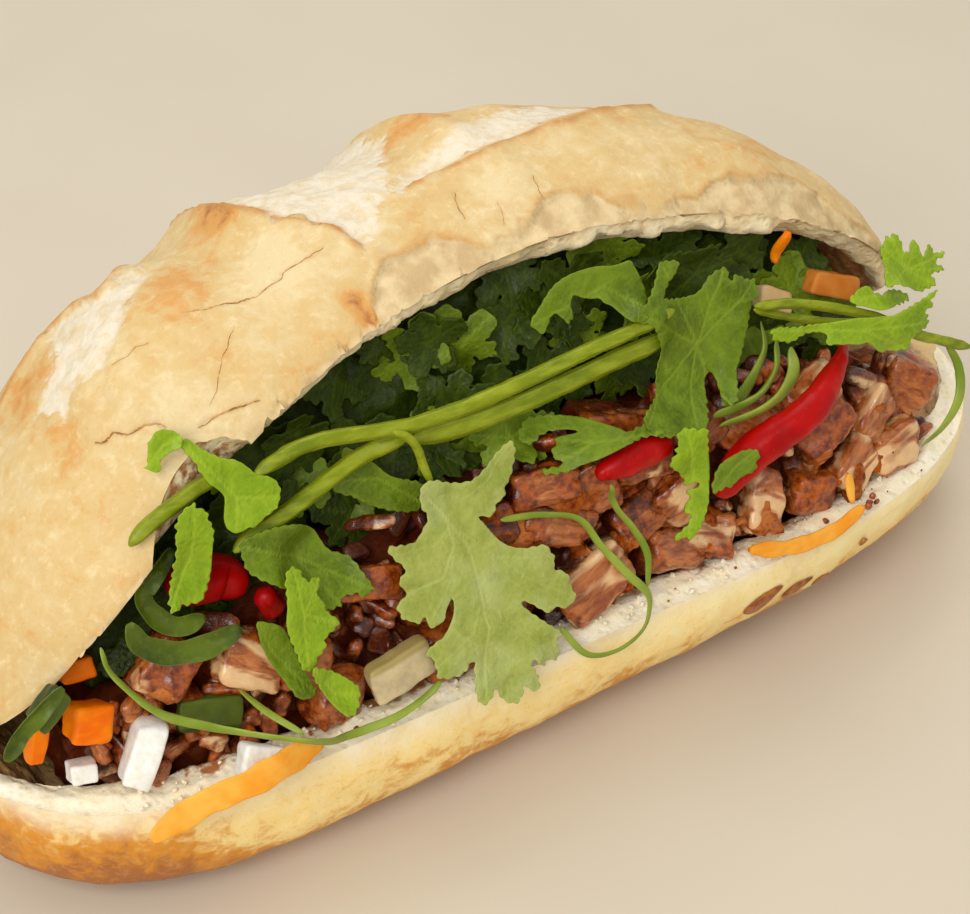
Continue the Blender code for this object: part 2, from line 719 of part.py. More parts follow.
# Coriander leaves: height, wave, centre, and each lobe's tip, width and the notch after it
LEAVES = {
    "coriander_curled": (
        -7, 0.8, (44.0, 56.0),
        (
            (33.8, 52.0, 2.4, 0.7), (36.2, 60.6, 6, 0.7), (48.9, 60.3, 7, 0.8), (52.8, 56.4, 6, 0.7),
            (49.3, 49.4, 7, 0.6),
        ),
    ),
    "coriander_behind_left": (
        -3, 0.8, (-27.8, 42.3),
        (
            (-32.0, 48.5, 6, 0.7), (-36.3, 42.8, 7, 0.6), (-29.7, 37.5, 7, 0.7), (-20.7, 34.6, 7, 0.6),
            (-21.3, 43.0, 5, 0.6),
        ),
    ),
    "coriander_behind_middle": (
        -4, 0.8, (-1.4, 40.4),
        (
            (-9.5, 43.6, 7, 0.6), (-8.2, 37.9, 6, 0.6), (0.6, 35.9, 7, 0.6), (7.9, 42.0, 2.4, 0.8),
            (-2.8, 44.6, 5, 0.8),
        ),
    ),
    "coriander_behind_right": (
        -3, 0.8, (9.7, 37.2),
        (
            (-1.0, 38.7, 7, 0.5), (4.0, 32.8, 7, 0.6), (13.1, 32.6, 6, 0.7), (22.8, 37.5, 2.4, 0.8),
            (7.4, 42.8, 6, 0.8),
        ),
    ),
    "coriander_broad_left": (
        -2, 0.8, (-46.5, 35.5),
        (
            (-56.2, 41.4, 8, 0.7), (-52.9, 32.5, 7, 0.7), (-42.0, 24.7, 6, 0.5), (-35.4, 25.0, 7, 0.6),
            (-41.8, 34.8, 6, 0.8), (-42.8, 40.4, 8, 0.8), (-51.5, 42.3, 6, 0.9),
        ),
    ),
    "coriander_fold_left": (
        0, 0.8, (-55.9, 22.6),
        (
            (-57.2, 29.4, 4, 0.8), (-53.0, 26.3, 5, 0.8), (-53.1, 20.0, 4, 0.8), (-55.0, 15.3, 5, 0.7),
            (-58.1, 22.7, 3, 0.9),
        ),
    ),
    "coriander_over_lid": (
        4, 0.8, (-55.3, 50.1),
        (
            (-61.3, 62.0, 6, 0.8), (-55.9, 58.1, 4, 0.9), (-51.8, 52.0, 4, 0.9), (-47.9, 49.2, 7, 0.7),
            (-49.2, 45.8, 5, 0.8), (-52.9, 44.2, 6, 0.7), (-58.1, 45.0, 6, 0.6),
        ),
    ),
    "coriander_curl_over_lid": (
        6, 0.8, (-65.0, 62.6),
        (
            (-61.4, 61.6, 5, 0.8), (-62.9, 64.5, 4, 0.8), (-66.6, 64.8, 5, 0.7), (-69.0, 60.1, 5, 0.5),
            (-66.3, 59.0, 3, 0.6),
        ),
    ),
    "coriander_hanging_left": (
        2, 0.8, (-64.8, 43.2),
        (
            (-60.6, 50.3, 4, 0.9), (-66.4, 48.7, 4, 0.8), (-68.3, 44.5, 4, 0.8), (-70.0, 40.1, 4, 0.8),
            (-70.5, 35.4, 5, 0.7), (-65.5, 35.4, 4, 0.9), (-62.0, 40.6, 4, 0.9),
        ),
    ),
    "coriander_bright_left": (
        4, 0.8, (-49.6, 27.2),
        (
            (-49.8, 36.4, 4, 0.6), (-45.8, 32.1, 5, 0.6), (-43.7, 23.8, 6, 0.6), (-47.7, 19.7, 4, 0.7),
            (-52.0, 18.2, 3, 0.9), (-53.4, 24.2, 4, 0.9), (-52.1, 30.9, 4, 0.9),
        ),
    ),
    "coriander_bright_low": (
        4, 0.8, (-47.9, 12.0),
        (
            (-51.4, 18.2, 4, 0.8), (-43.9, 12.2, 6, 0.8), (-45.2, 8.3, 5, 0.8), (-48.5, 7.3, 5, 0.7),
            (-52.4, 13.5, 6, 0.8),
        ),
    ),
    "coriander_arm": (
        0, 0.8, (19.9, 62.0),
        (
            (27.3, 54.1, 3, 0.8), (26.9, 63.9, 6, 0.8), (18.0, 65.1, 4, 0.9), (11.7, 64.4, 5, 0.8),
            (6.9, 57.6, 6, 0.5), (11.6, 57.7, 4, 0.6),
        ),
    ),
    "coriander_centre": (
        1, 1.0, (36.4, 45.8),
        (
            (28.2, 54.2, 3, 0.7), (38.7, 55.2, 7, 0.9), (50.9, 52.7, 9, 0.8), (49.0, 46.8, 5, 0.9),
            (41.1, 32.8, 7, 0.55), (33.3, 29.9, 9, 0.75), (25.3, 34.5, 6, 0.75), (27.3, 45.6, 5, 0.85),
        ),
    ),
    "coriander_hanging_centre": (
        2, 0.8, (27.7, 23.8),
        (
            (32.1, 30.7, 6, 0.9), (24.9, 29.8, 4, 0.8), (23.7, 26.0, 4, 0.7), (24.2, 20.1, 4, 0.7),
            (23.6, 12.7, 5, 0.8), (29.3, 19.0, 4, 0.9),
        ),
    ),
    "coriander_on_chilli": (
        2, 0.8, (33.7, 24.5),
        (
            (40.0, 25.9, 5, 0.7), (37.2, 22.8, 4, 0.8), (30.7, 21.3, 5, 0.8), (28.4, 24.9, 4, 0.8),
            (31.5, 27.7, 4, 0.8),
        ),
    ),
    "coriander_sprig_tip": (
        3, 0.8, (82.6, 45.6),
        (
            (80.9, 40.3, 2.4, 0.7), (76.3, 46.8, 5, 0.6), (77.4, 51.3, 5, 0.6), (81.8, 53.4, 5, 0.5),
            (85.2, 50.6, 4, 0.5), (88.9, 48.9, 5, 0.5), (91.5, 44.4, 6, 0.5), (88.2, 40.7, 6, 0.6),
        ),
    ),
    "coriander_sprig_low": (
        3, 0.8, (72.9, 43.7),
        (
            (66.9, 44.8, 5, 0.7), (71.2, 46.3, 4, 0.8), (75.7, 45.9, 4, 0.8), (80.0, 40.8, 5, 0.7),
            (73.2, 41.2, 4, 0.8),
        ),
    ),
    "coriander_sprig_blade": (
        4, 0.8, (67.7, 38.9),
        (
            (51.8, 44.5, 5, 0.6), (60.5, 38.2, 6, 0.7), (69.2, 34.4, 7, 0.7), (75.9, 32.6, 6, 0.7),
            (83.2, 35.5, 6, 0.6), (77.7, 38.5, 4, 0.8), (61.4, 43.1, 3, 0.9),
        ),
    ),
    "coriander_front": (
        5, 1.0, (-19.4, 21.9),
        (
            (-21.3, 39.9, 3, 0.75), (-5.4, 42.6, 7, 0.5), (-0.8, 12.5, 11, 0.55), (-5.9, 2.4, 8, 0.8),
            (-12.0, -1.9, 5, 0.85), (-17.6, -2.7, 8, 0.85), (-22.5, -0.7, 5, 0.7), (-30.9, 10.0, 9, 0.35),
            (-33.6, 22.6, 9, 0.8), (-32.2, 32.5, 8, 0.75),
        ),
    ),
}

# Round strands: finish, height, diameter and the points they pass through
TUBES = {
    "stem_upper": (
        "stem", 3, 2.7,
        (
            (-48.9, 53.4), (-41.6, 54.5), (-32.7, 53.2), (-23.7, 51.5), (-14.1, 51.1), (-0.0, 51.8),
            (14.6, 53.1), (25.2, 53.8),
        ),
    ),
    "stem_middle": (
        "stem", 2, 3.4,
        (
            (-21.9, 47.9), (-14.7, 47.2), (-4.8, 46.9), (7.5, 47.6), (20.3, 48.6), (26.7, 48.9),
        ),
    ),
    "stem_lower": (
        "stem", 1, 3.0,
        ((-55.3, 41.0), (-46.0, 43.5), (-37.7, 46.2), (-29.1, 48.5), (-23.2, 49.0)),
    ),
    "stem_left": (
        "stem", 1, 2.6,
        ((-74.6, 48.9), (-70.1, 51.2), (-65.1, 52.7), (-59.9, 53.7)),
    ),
    "petiole": (
        "stem", 5, 1.5,
        ((-27.4, 52.1), (-25.2, 50.6), (-23.3, 47.1), (-22.4, 43.2), (-21.7, 40.4)),
    ),
    "stem_right_upper": (
        "stem", 4, 1.9,
        (
            (47.3, 49.9), (55.1, 47.9), (65.8, 43.4), (73.0, 39.5), (81.1, 33.6), (87.3, 30.2),
            (93.2, 27.0),
        ),
    ),
    "stem_right_lower": (
        "stem", 3, 1.5,
        ((48.2, 48.8), (53.5, 46.0), (63.0, 41.8), (70.9, 39.1), (77.2, 37.8)),
    ),
    "onion_ring_left": (
        "onion", 2, 1.7,
        (
            (-83.1, 34.0), (-83.0, 30.7), (-80.8, 25.5), (-76.9, 19.7), (-69.6, 14.3), (-58.5, 9.1),
            (-47.7, 3.6), (-38.0, 3.1), (-32.0, 4.8), (-28.9, 6.7),
        ),
    ),
    "onion_branch": (
        "onion", 2, 1.5,
        ((-62.9, 18.1), (-59.7, 13.0), (-55.7, 8.2)),
    ),
    "onion_ring_middle": (
        "onion", 2, 1.7,
        (
            (-9.9, 29.0), (-1.3, 26.8), (5.1, 23.5), (7.8, 17.7), (11.8, 10.3), (14.6, 4.4),
            (12.9, 0.1), (7.3, -2.2), (0.8, -1.0), (-3.7, 6.1),
        ),
    ),
    "onion_branch_middle": (
        "onion", 2, 1.5,
        ((9.2, 29.7), (11.9, 24.0), (15.2, 18.0), (16.8, 12.4), (15.3, 6.3)),
    ),
    "onion_ring_right": (
        "onion", 2, 2.0,
        ((89.6, 29.0), (91.4, 23.1), (90.1, 17.4), (85.2, 13.2), (79.2, 11.2)),
    ),
    "onion_curl_outer": (
        "onion", -1, 2.2,
        ((54.3, 39.7), (53.7, 35.3), (49.6, 32.4), (43.7, 31.3), (35.1, 31.2)),
    ),
    "onion_curl_middle": (
        "onion", -2, 2.2,
        ((53.5, 41.1), (52.2, 36.5), (48.4, 33.9), (42.7, 32.7), (35.9, 32.3)),
    ),
    "onion_curl_inner": (
        "onion", -3, 2.2,
        ((52.9, 44.5), (52.3, 39.2), (48.7, 35.8), (44.2, 33.8), (39.1, 33.2)),
    ),
}

# Flat strips: finish, height, width, thickness and the points they pass through
STRIPS = {
    "onion_wide_left": (
        "onion", 0, 4.0, 0.8,
        ((-77.8, 36.3), (-76.9, 32.2), (-73.2, 28.9), (-67.4, 27.4), (-59.9, 28.2)),
    ),
    "onion_dark_left": (
        "onion", -2, 3.5, 0.8,
        ((-66.4, 44.1), (-71.1, 42.0), (-74.0, 39.5), (-73.3, 35.8), (-70.5, 32.3), (-64.5, 31.4)),
    ),
    "onion_far_left": (
        "onion", -2, 3.0, 0.9,
        ((-90.9, 30.4), (-94.9, 28.4), (-98.9, 25.0), (-102.2, 21.1)),
    ),
    "carrot_over_rim": (
        "carrot", 2, 5.0, 1.2,
        ((-52.3, 4.4), (-62.4, 5.0), (-73.0, 3.1), (-84.5, 0.3)),
    ),
    "carrot_right": (
        "carrot", 2, 3.0, 1.6,
        ((37.5, 5.5), (48.3, 2.5), (56.5, 2.5), (63.4, 4.9)),
    ),
    "carrot_thin_right": (
        "carrot", 1, 1.8, 1.4,
        ((62.5, 11.6), (62.5, 8.6), (62.3, 5.6)),
    ),
    "carrot_under_lid": (
        "carrot", -6, 2.8, 2.2,
        ((61.1, 59.3), (60.1, 53.4)),
    ),
}

# The pieces are laid in this order, from the bottom of the pile to the top
ORDER = (
    "chilli_left",
    "chilli_small_left",
    "chilli_middle",
    "coriander_curled",
    "carrot_under_lid",
    "onion_far_left",
    "onion_dark_left",
    "onion_wide_left",
    "carrot_thin_right",
    "carrot_right",
    "coriander_behind_middle",
    "coriander_behind_right",
    "coriander_behind_left",
    "onion_curl_inner",
    "onion_curl_middle",
    "onion_curl_outer",
    "chilli_long",
    "onion_branch_middle",
    "onion_ring_middle",
    "onion_ring_right",
    "carrot_over_rim",
    "onion_branch",
    "onion_ring_left",
    "stem_middle",
    "stem_lower",
    "coriander_broad_left",
    "stem_upper",
    "stem_left",
    "coriander_fold_left",
    "coriander_arm",
    "coriander_centre",
    "coriander_hanging_centre",
    "coriander_on_chilli",
    "stem_right_lower",
    "stem_right_upper",
    "coriander_sprig_low",
    "coriander_sprig_blade",
    "coriander_sprig_tip",
    "coriander_over_lid",
    "coriander_curl_over_lid",
    "coriander_hanging_left",
    "coriander_bright_left",
    "coriander_bright_low",
    "petiole",
    "coriander_front",
)


class Pile:
    """Lays pieces on the heaps, each lifted until it clears everything below it."""

    def __init__(self, frame):
        self.frame = frame
        self.map = HeightMap()

    def ground(self, radius):
        """The height, with a gap, of what lies within a radius of each place."""
        grid = self.map.widened(radius)
        return lambda flat: read_map(grid, flat[:, 0], flat[:, 1]) + GAP

    def lay(self, name, points, faces, finish):
        points = np.array(points, float)
        lift = max(self.map.lift_needed(points, faces), 0.0)
        points[:, 2] += lift
        self.map.add(points, faces)
        return make_object(name, points, faces, finish, self.frame)


def block(ends, width, thick, height, draw):
    (x1, w1), (x2, w2) = ends
    along = math.hypot(x2 - x1, w2 - w1)
    turn = Matrix.Rotation(math.atan2(w2 - w1, x2 - x1), 3, "Z") @ random_turn(draw, 0.12)
    centre = ((x1 + x2) / 2, (w1 + w2) / 2, height)
    return box_points((along, width, thick), turn, centre, draw), BOX_FACES


def resample(line, step):
    """Evenly spaced points on a smooth curve through a line's points."""
    line = np.array(line, float)
    along = np.concatenate(([0], np.cumsum(np.linalg.norm(np.diff(line, axis=0), axis=1))))
    count = max(2, math.ceil(along[-1] / step) + 1)
    shares = np.linspace(0, along[-1], count)
    curve = [[spline(along, line[:, axis], at) for axis in range(line.shape[1])] for at in shares]
    return np.array(curve), shares, along


def swept(line, heights, section_at):
    """A closed solid that sweeps a section, given as (across, up) offsets, along a line."""
    spine = np.column_stack((line, heights))
    rings = []
    for i, spot in enumerate(spine):
        ahead = Vector(spine[min(i + 1, len(spine) - 1)] - spine[max(i - 1, 0)]).normalized()
        across = ahead.cross(Vector((0, 0, 1))).normalized()
        up = across.cross(ahead)
        rings.append([Vector(spot) + across * a + up * b for a, b in section_at(i)])
    return loft(rings)


def lie_on(ground, line, height, half_thick):
    """Heights along a line that stay on or above what lies below, and change slowly."""
    needed = np.maximum(ground(line) + half_thick, height)
    padded = np.pad(needed, 1, mode="edge")
    return np.maximum(needed, (padded[:-2] + 2 * needed + padded[2:]) / 4)


def tube(ground, line, radii, height):
    curve, shares, along = resample(line, TUBE_STEP)
    sizes = [max(spline(along, radii, at), 0.3) for at in shares]
    heights = lie_on(ground, curve, height, max(sizes))
    angles = [2 * math.pi * (k + 0.5) / TUBE_SIDES for k in range(TUBE_SIDES)]

    def section(i):
        return [(sizes[i] * math.cos(a), sizes[i] * math.sin(a)) for a in angles]

    return swept(curve, heights, section)


def strip(ground, line, width, thick, height):
    curve, _, _ = resample(line, TUBE_STEP)
    heights = lie_on(ground, curve, height, thick / 2)
    corners = ((-width / 2, -thick / 2), (width / 2, -thick / 2), (width / 2, thick / 2), (-width / 2, thick / 2))
    return swept(curve, heights, lambda i: corners)


def leaf_outline(centre, lobes):
    """The toothed outline round the lobes of a leaf, as angles and distances from its centre."""
    tips = []
    for x, w, width, notch in lobes:
        dx, dw = x - centre[0], w - centre[1]
        tips.append((math.atan2(dw, dx), math.hypot(dx, dw), width, notch))
    outline = []
    for i, (angle, reach, width, notch) in enumerate(tips):
        before, after = tips[i - 1], tips[(i + 1) % len(tips)]
        turn = math.remainder(after[0] - angle, 2 * math.pi)
        turn_back = math.remainder(before[0] - angle, 2 * math.pi)
        wide = math.atan2(width / 2, 0.8 * reach)
        for share, tooth, depth in ((-1, 0.8, 1.0), (-0.5, 0.84, 0.5), (0, 1.0, 0), (0.5, 0.84, 0.5), (1, 0.8, 1.0)):
            room = turn if share > 0 else turn_back
            offset = math.copysign(min(wide, abs(room) * 0.38), room) * depth
            if width < 3.5 and abs(share) == 0.5:
                continue
            outline.append((angle + offset, reach * tooth))
        outline.append((angle + turn / 2, notch * (reach + after[1]) / 2))
    return outline


def leaf(ground, centre, lobes, height, wave):
    """A thin leaf of even thickness that lies wavily on what is below it."""
    outline = leaf_outline(centre, lobes)
    count = len(outline)
    flat = [centre]
    flat += [(centre[0] + LEAF_RING * r * math.cos(a), centre[1] + LEAF_RING * r * math.sin(a)) for a, r in outline[::2]]
    flat += [(centre[0] + r * math.cos(a), centre[1] + r * math.sin(a)) for a, r in outline]
    flat = np.array(flat)
    reach = np.hypot(*(flat - centre).T)
    design = height + wave * np.sin(flat[:, 0] * 0.55 + flat[:, 1] * 0.4) * reach / reach.max()
    under = np.maximum(ground(flat), design)
    half = count // 2
    faces = []
    for j in range(half):
        k = (j + 1) % half
        inner, inner_next = 1 + j, 1 + k
        outer = [1 + half + (2 * j + step) % count for step in range(3)]
        faces += [(0, inner, inner_next), (inner, outer[0], outer[1])]
        faces += [(inner, outer[1], inner_next), (inner_next, outer[1], outer[2])]
    size = len(flat)
    points = [(x, w, n) for (x, w), n in zip(flat, under)]
    points += [(x, w, n + LEAF_THICKNESS) for (x, w), n in zip(flat, under)]
    solid = [face[::-1] for face in faces] + [tuple(v + size for v in face) for face in faces]
    for j in range(count):
        a, b = 1 + half + j, 1 + half + (j + 1) % count
        solid.append((a, b, b + size, a + size))
    return points, solid


def main():
    for old in list(bpy.data.objects):
        bpy.data.objects.remove(old)
    frame = bpy.data.objects.new("mouth_frame", None)
    frame.matrix_world = mouth_matrix()
    bpy.context.scene.collection.objects.link(frame)
    bread = build_bread()
    bpy.context.view_layer.update()
    points, faces = mesh_arrays(bread)
    inside = to_mouth(points)
    wall = BVHTree.FromPolygons([Vector(p) for p in inside], faces)
    cutters = grown_roll()
    pile = Pile(frame)
    pile.map.add(inside, faces)
    for heap in (build_pork(frame, wall, cutters), build_herbs(frame, wall, cutters)):
        pile.map.add(*mesh_arrays(heap))
    for cutter in cutters:
        bpy.data.objects.remove(cutter)
    draw = random.Random(11)
    for name, (finish, height, start, end, width, thick) in BLOCKS.items():
        pile.lay(name, *block((start, end), width, thick, height, draw), finish)
    for name in ORDER:
        if name in LEAVES:
            height, wave, centre, lobes = LEAVES[name]
            pile.lay(name, *leaf(pile.ground(LEAF_REACH), centre, lobes, height, wave), "leaf")
        elif name in CHILLIES:
            height, line, radii = CHILLIES[name]
            pile.lay(name, *tube(pile.ground(max(radii) - 1), line, radii, height), "chilli")
        elif name in TUBES:
            finish, height, wide, line = TUBES[name]
            pile.lay(name, *tube(pile.ground(wide / 2 + 0.5), line, [wide / 2] * len(line), height), finish)
        else:
            finish, height, width, thick, line = STRIPS[name]
            pile.lay(name, *strip(pile.ground(width / 2), line, width, thick, height), finish)


main()
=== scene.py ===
"""The looks of a banh mi: crust and crumb, roast pork, pickles, chilli, spring onion and coriander.

Lengths are millimetres until add_piece turns them into metres. X runs along the roll, the mouth
faces -Y and +Z is up. The filling is laid out in the mouth frame: x along the roll, w up the
mouth and n straight out of it.
"""

import math
import random

import bmesh
import bpy
import numpy as np
from mathutils import Matrix, Vector
from mathutils.bvhtree import BVHTree


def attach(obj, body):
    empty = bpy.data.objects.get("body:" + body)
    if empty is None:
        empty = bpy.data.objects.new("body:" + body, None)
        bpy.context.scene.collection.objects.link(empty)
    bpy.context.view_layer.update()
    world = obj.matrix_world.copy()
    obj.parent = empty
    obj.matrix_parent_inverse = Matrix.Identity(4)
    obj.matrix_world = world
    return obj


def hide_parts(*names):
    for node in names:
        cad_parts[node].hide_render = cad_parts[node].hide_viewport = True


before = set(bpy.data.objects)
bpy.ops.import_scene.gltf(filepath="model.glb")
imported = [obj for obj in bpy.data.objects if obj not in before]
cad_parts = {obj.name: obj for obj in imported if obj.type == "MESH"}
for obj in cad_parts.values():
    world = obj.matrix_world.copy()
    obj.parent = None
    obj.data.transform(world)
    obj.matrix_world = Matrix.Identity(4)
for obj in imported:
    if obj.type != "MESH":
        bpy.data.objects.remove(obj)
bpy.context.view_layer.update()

MM = 0.001

# Camera
AZIMUTH = -30.8
ELEVATION = 40.0
DISTANCE = 415.0
LENS = 83.0
TARGET = (2.6, 0.0, 45.0)
SENSOR_WIDTH = 36.0
PHOTO_SIZE = (970, 914)

# The roll's driving sizes, as in the part
ROLL_HALF_LENGTH = 109.5
ROLL_CENTRE_X = 3.0
HALF_WIDTH = 40.5
RIM_HEIGHT = 28.5
TIP_FULLNESS = 3.9
FRONT_LEFT_FULLNESS = 5.5
BOW = 3.0
LID_LEFT = -106.0
LID_RIGHT = 98.0
HINGE_SHARE = 0.97
STATIONS = (-1.0, -0.5, 0.0, 0.5, 1.0)
LID_HEIGHTS = (33.8, 38.0, 38.7, 35.0, 27.0)
LID_ANGLES = (18.9, 43.2, 53.8, 48.8, 34.3)
UNDERSIDE_POWERS = (4.6, 4.2, 3.2, 2.4, 2.0)
BREAK_X = (-79.0, -71.0, -65.0, -58.0, -51.0, -44.0)
BREAK_LIFT = (0.0, 3.0, 7.5, 7.0, 3.0, 0.0)
SCORE_LEAN = 12.0
SCORE_AT = (-90, -75, -57, -49, -44, -40, -36, -28, -20, -11, -7, -4, 0, 6, 15, 25, 70, 90)
SCORE_RELIEF = (0, 3.2, 0.6, -2.1, -2.1, 0, 0.5, -1.9, -2.9, -3.3, -2.6, -1, 1.2, 0.2, -0.2, -1.2, -2, -1)
RIM_WIDTH = 8.5
LOWER_FLOOR = 10.0
LID_CRUMB = 13.0
HINGE_WEB = 4.0
SHUT_BELOW = 6.0
HOLLOW_GROWS_OVER = 18.0
MOUTH_ORIGIN = (0.0, -37.0, 28.0)
MOUTH_TILT = math.radians(63.0)


# Numbers and noise


def spline(stations, values, at):
    """A smooth curve through values at stations, read at one place or many."""
    stations = np.asarray(stations, float)
    values = np.asarray(values, float)
    slopes = np.gradient(values, stations)
    i = np.clip(np.searchsorted(stations, at, side="right") - 1, 0, len(stations) - 2)
    span = stations[i + 1] - stations[i]
    t = (at - stations[i]) / span
    start = (2 * t**3 - 3 * t**2 + 1) * values[i] + (t**3 - 2 * t**2 + t) * span * slopes[i]
    end = (3 * t**2 - 2 * t**3) * values[i + 1] + (t**3 - t**2) * span * slopes[i + 1]
    return start + end


def smooth(share):
    share = np.clip(share, 0.0, 1.0)
    return share * share * (3 - 2 * share)


def lattice(i, j, k, seed):
    mixed = (i * 374761393 + j * 668265263 + k * 1440670441 + seed * 1274126177) & 0xFFFFFFFF
    mixed = ((mixed ^ (mixed >> 13)) * 1274126177) & 0xFFFFFFFF
    return ((mixed ^ (mixed >> 16)) & 0xFFFF) / 32767.5 - 1


def value_noise(points, size, seed=0):
    """Smooth noise from -1 to 1 with lumps of about this size."""
    spots = np.asarray(points, float) / size
    base = np.floor(spots).astype(np.int64)
    t = spots - base
    t = t * t * (3 - 2 * t)
    total = 0
    for corner in range(8):
        step = np.array([corner & 1, corner >> 1 & 1, corner >> 2 & 1])
        weight = np.prod(np.where(step, t, 1 - t), axis=-1)
        cell = base + step
        total = total + weight * lattice(cell[..., 0], cell[..., 1], cell[..., 2], seed)
    return total


def fractal(points, size, octaves=3, seed=0):
    total = 0
    strength = 1.0
    for octave in range(octaves):
        total = total + strength * value_noise(points, size, seed + 17 * octave)
        size = size / 2.03
        strength *= 0.5
    return total


def ridged(points, size, octaves=3, seed=0):
    """Noise with thin crests at 1 and broad hollows near 0."""
    return np.clip(1 - np.abs(fractal(points, size, octaves, seed)) * 2.2, 0, 1)


# Making pieces


def face_outward(mesh):
    """Turns the faces of a closed mesh to face out."""
    work = bmesh.new()
    work.from_mesh(mesh)
    if all(edge.is_manifold for edge in work.edges):
        bmesh.ops.recalc_face_normals(work, faces=work.faces)
        work.to_mesh(mesh)
    work.free()


def add_piece(name, points, faces, finish, nodes=(), fields=None, body="root"):
    """A smooth mesh from points in millimetres, riding on the body, with one value per point in each field."""
    mesh = bpy.data.meshes.new(name)
    mesh.from_pydata((np.asarray(points, float) * MM).tolist(), [], [list(map(int, f)) for f in faces])
    mesh.validate()
    face_outward(mesh)
    for field, values in (fields or {}).items():
        values = np.asarray(values, np.float32)
        if values.ndim == 1:
            mesh.attributes.new(field, "FLOAT", "POINT").data.foreach_set("value", values)
        else:
            mesh.attributes.new(field, "FLOAT_VECTOR", "POINT").data.foreach_set("vector", values.ravel())
    mesh.materials.append(finish)
    mesh.shade_smooth()
    made = bpy.data.objects.new(name, mesh)
    bpy.context.scene.collection.objects.link(made)
    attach(made, body)
    if nodes:
        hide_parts(*nodes)
    return made


def grid_faces(rows, columns, close=False, sign=-1):
    """Quads between the points of a grid, joined back to its first column where it is closed.

    A sign above nought turns them to face along the grid's normals.
    """
    last = columns if close else columns - 1
    i, j = np.meshgrid(np.arange(rows - 1), np.arange(last), indexing="ij")
    k = (j + 1) % columns
    corners = (i * columns + j, i * columns + k, (i + 1) * columns + k, (i + 1) * columns + j)
    return np.stack(corners[::-1] if sign > 0 else corners, -1).reshape(-1, 4)


def grid_normals(grid):
    along = np.gradient(grid, axis=0)
    across = np.gradient(grid, axis=1)
    normal = np.cross(along, across)
    return normal / np.maximum(np.linalg.norm(normal, axis=-1, keepdims=True), 1e-9)


def to_mouth(points):
    """World points, in millimetres, as x, w and n."""
    turn = np.array(Matrix.Rotation(MOUTH_TILT, 3, "X"))
    return (np.asarray(points, float) - np.array(MOUTH_ORIGIN)) @ turn


def from_mouth(points):
    turn = np.array(Matrix.Rotation(MOUTH_TILT, 3, "X"))
    return np.asarray(points, float) @ turn.T + np.array(MOUTH_ORIGIN)


def node_arrays(name):
    """A CAD node's points in the mouth frame and its faces."""
    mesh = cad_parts[name].data
    points = np.empty(len(mesh.vertices) * 3)
    mesh.vertices.foreach_get("co", points)
    faces = [tuple(p.vertices) for p in mesh.polygons]
    return to_mouth(points.reshape(-1, 3) / MM), faces


# Materials


class Finish:
    """A Principled material and short ways to add the nodes that drive it."""

    def __init__(self, name, roughness, **sockets):
        self.made = bpy.data.materials.new(name)
        self.made.use_nodes = True
        self.nodes = self.made.node_tree.nodes
        self.links = self.made.node_tree.links
        self.shader = self.nodes["Principled BSDF"]
        self.shader.inputs["Roughness"].default_value = roughness
        for socket, value in sockets.items():
            self.shader.inputs[socket.replace("_", " ")].default_value = value
        self.place = self.nodes.new("ShaderNodeTexCoord").outputs["Object"]

    def put(self, value, socket):
        if isinstance(value, bpy.types.NodeSocket):
            self.links.new(value, socket)
        elif isinstance(value, (tuple, list)):
            socket.default_value = (*value[:3], 1.0)
        else:
            socket.default_value = value

    def field(self, name):
        node = self.nodes.new("ShaderNodeAttribute")
        node.attribute_name = name
        return node.outputs["Fac"]

    def vector_field(self, name):
        node = self.nodes.new("ShaderNodeAttribute")
        node.attribute_name = name
        return node.outputs["Vector"]

    def stretched(self, source, scale):
        node = self.nodes.new("ShaderNodeMapping")
        self.links.new(source, node.inputs["Vector"])
        node.inputs["Scale"].default_value = scale
        return node.outputs["Vector"]

    def noise(self, size, detail=3.0, rough=0.55, warp=0.0, place=None):
        """Noise from 0 to 1 with lumps of about this many millimetres."""
        node = self.nodes.new("ShaderNodeTexNoise")
        self.links.new(place or self.place, node.inputs["Vector"])
        node.inputs["Scale"].default_value = 1 / (size * MM)
        node.inputs["Detail"].default_value = detail
        node.inputs["Roughness"].default_value = rough
        node.inputs["Distortion"].default_value = warp
        return node.outputs["Fac"]

    def cells(self, size, place=None, feature="F1"):
        node = self.nodes.new("ShaderNodeTexVoronoi")
        node.feature = feature
        self.links.new(place or self.place, node.inputs["Vector"])
        node.inputs["Scale"].default_value = 1 / (size * MM)
        return node.outputs["Distance"]

    def span(self, value, low, high, out_low=0.0, out_high=1.0):
        """A value mapped from one range to another, smoothly and held inside it."""
        node = self.nodes.new("ShaderNodeMapRange")
        node.interpolation_type = "SMOOTHSTEP"
        self.put(value, node.inputs["Value"])
        node.inputs["From Min"].default_value = low
        node.inputs["From Max"].default_value = high
        node.inputs["To Min"].default_value = out_low
        node.inputs["To Max"].default_value = out_high
        return node.outputs["Result"]

    def maths(self, operation, a, b=0.0):
        node = self.nodes.new("ShaderNodeMath")
        node.operation = operation
        self.put(a, node.inputs[0])
        self.put(b, node.inputs[1])
        return node.outputs[0]

    def mix(self, share, first, second, blend="MIX"):
        """Two colours mixed by a share."""
        node = self.nodes.new("ShaderNodeMix")
        node.data_type = "RGBA"
        node.blend_type = blend
        self.put(share, node.inputs[0])
        self.put(first, node.inputs[6])
        self.put(second, node.inputs[7])
        return node.outputs[2]

    def bump(self, height, distance, strength=1.0, under=None):
        """Relief of this many millimetres."""
        node = self.nodes.new("ShaderNodeBump")
        self.put(height, node.inputs["Height"])
        node.inputs["Distance"].default_value = distance * MM
        node.inputs["Strength"].default_value = strength
        if under:
            self.links.new(under, node.inputs["Normal"])
        return node.outputs["Normal"]

    def drive(self, **sockets):
        for socket, value in sockets.items():
            self.put(value, self.shader.inputs[socket.replace("_", " ")])
        return self.made


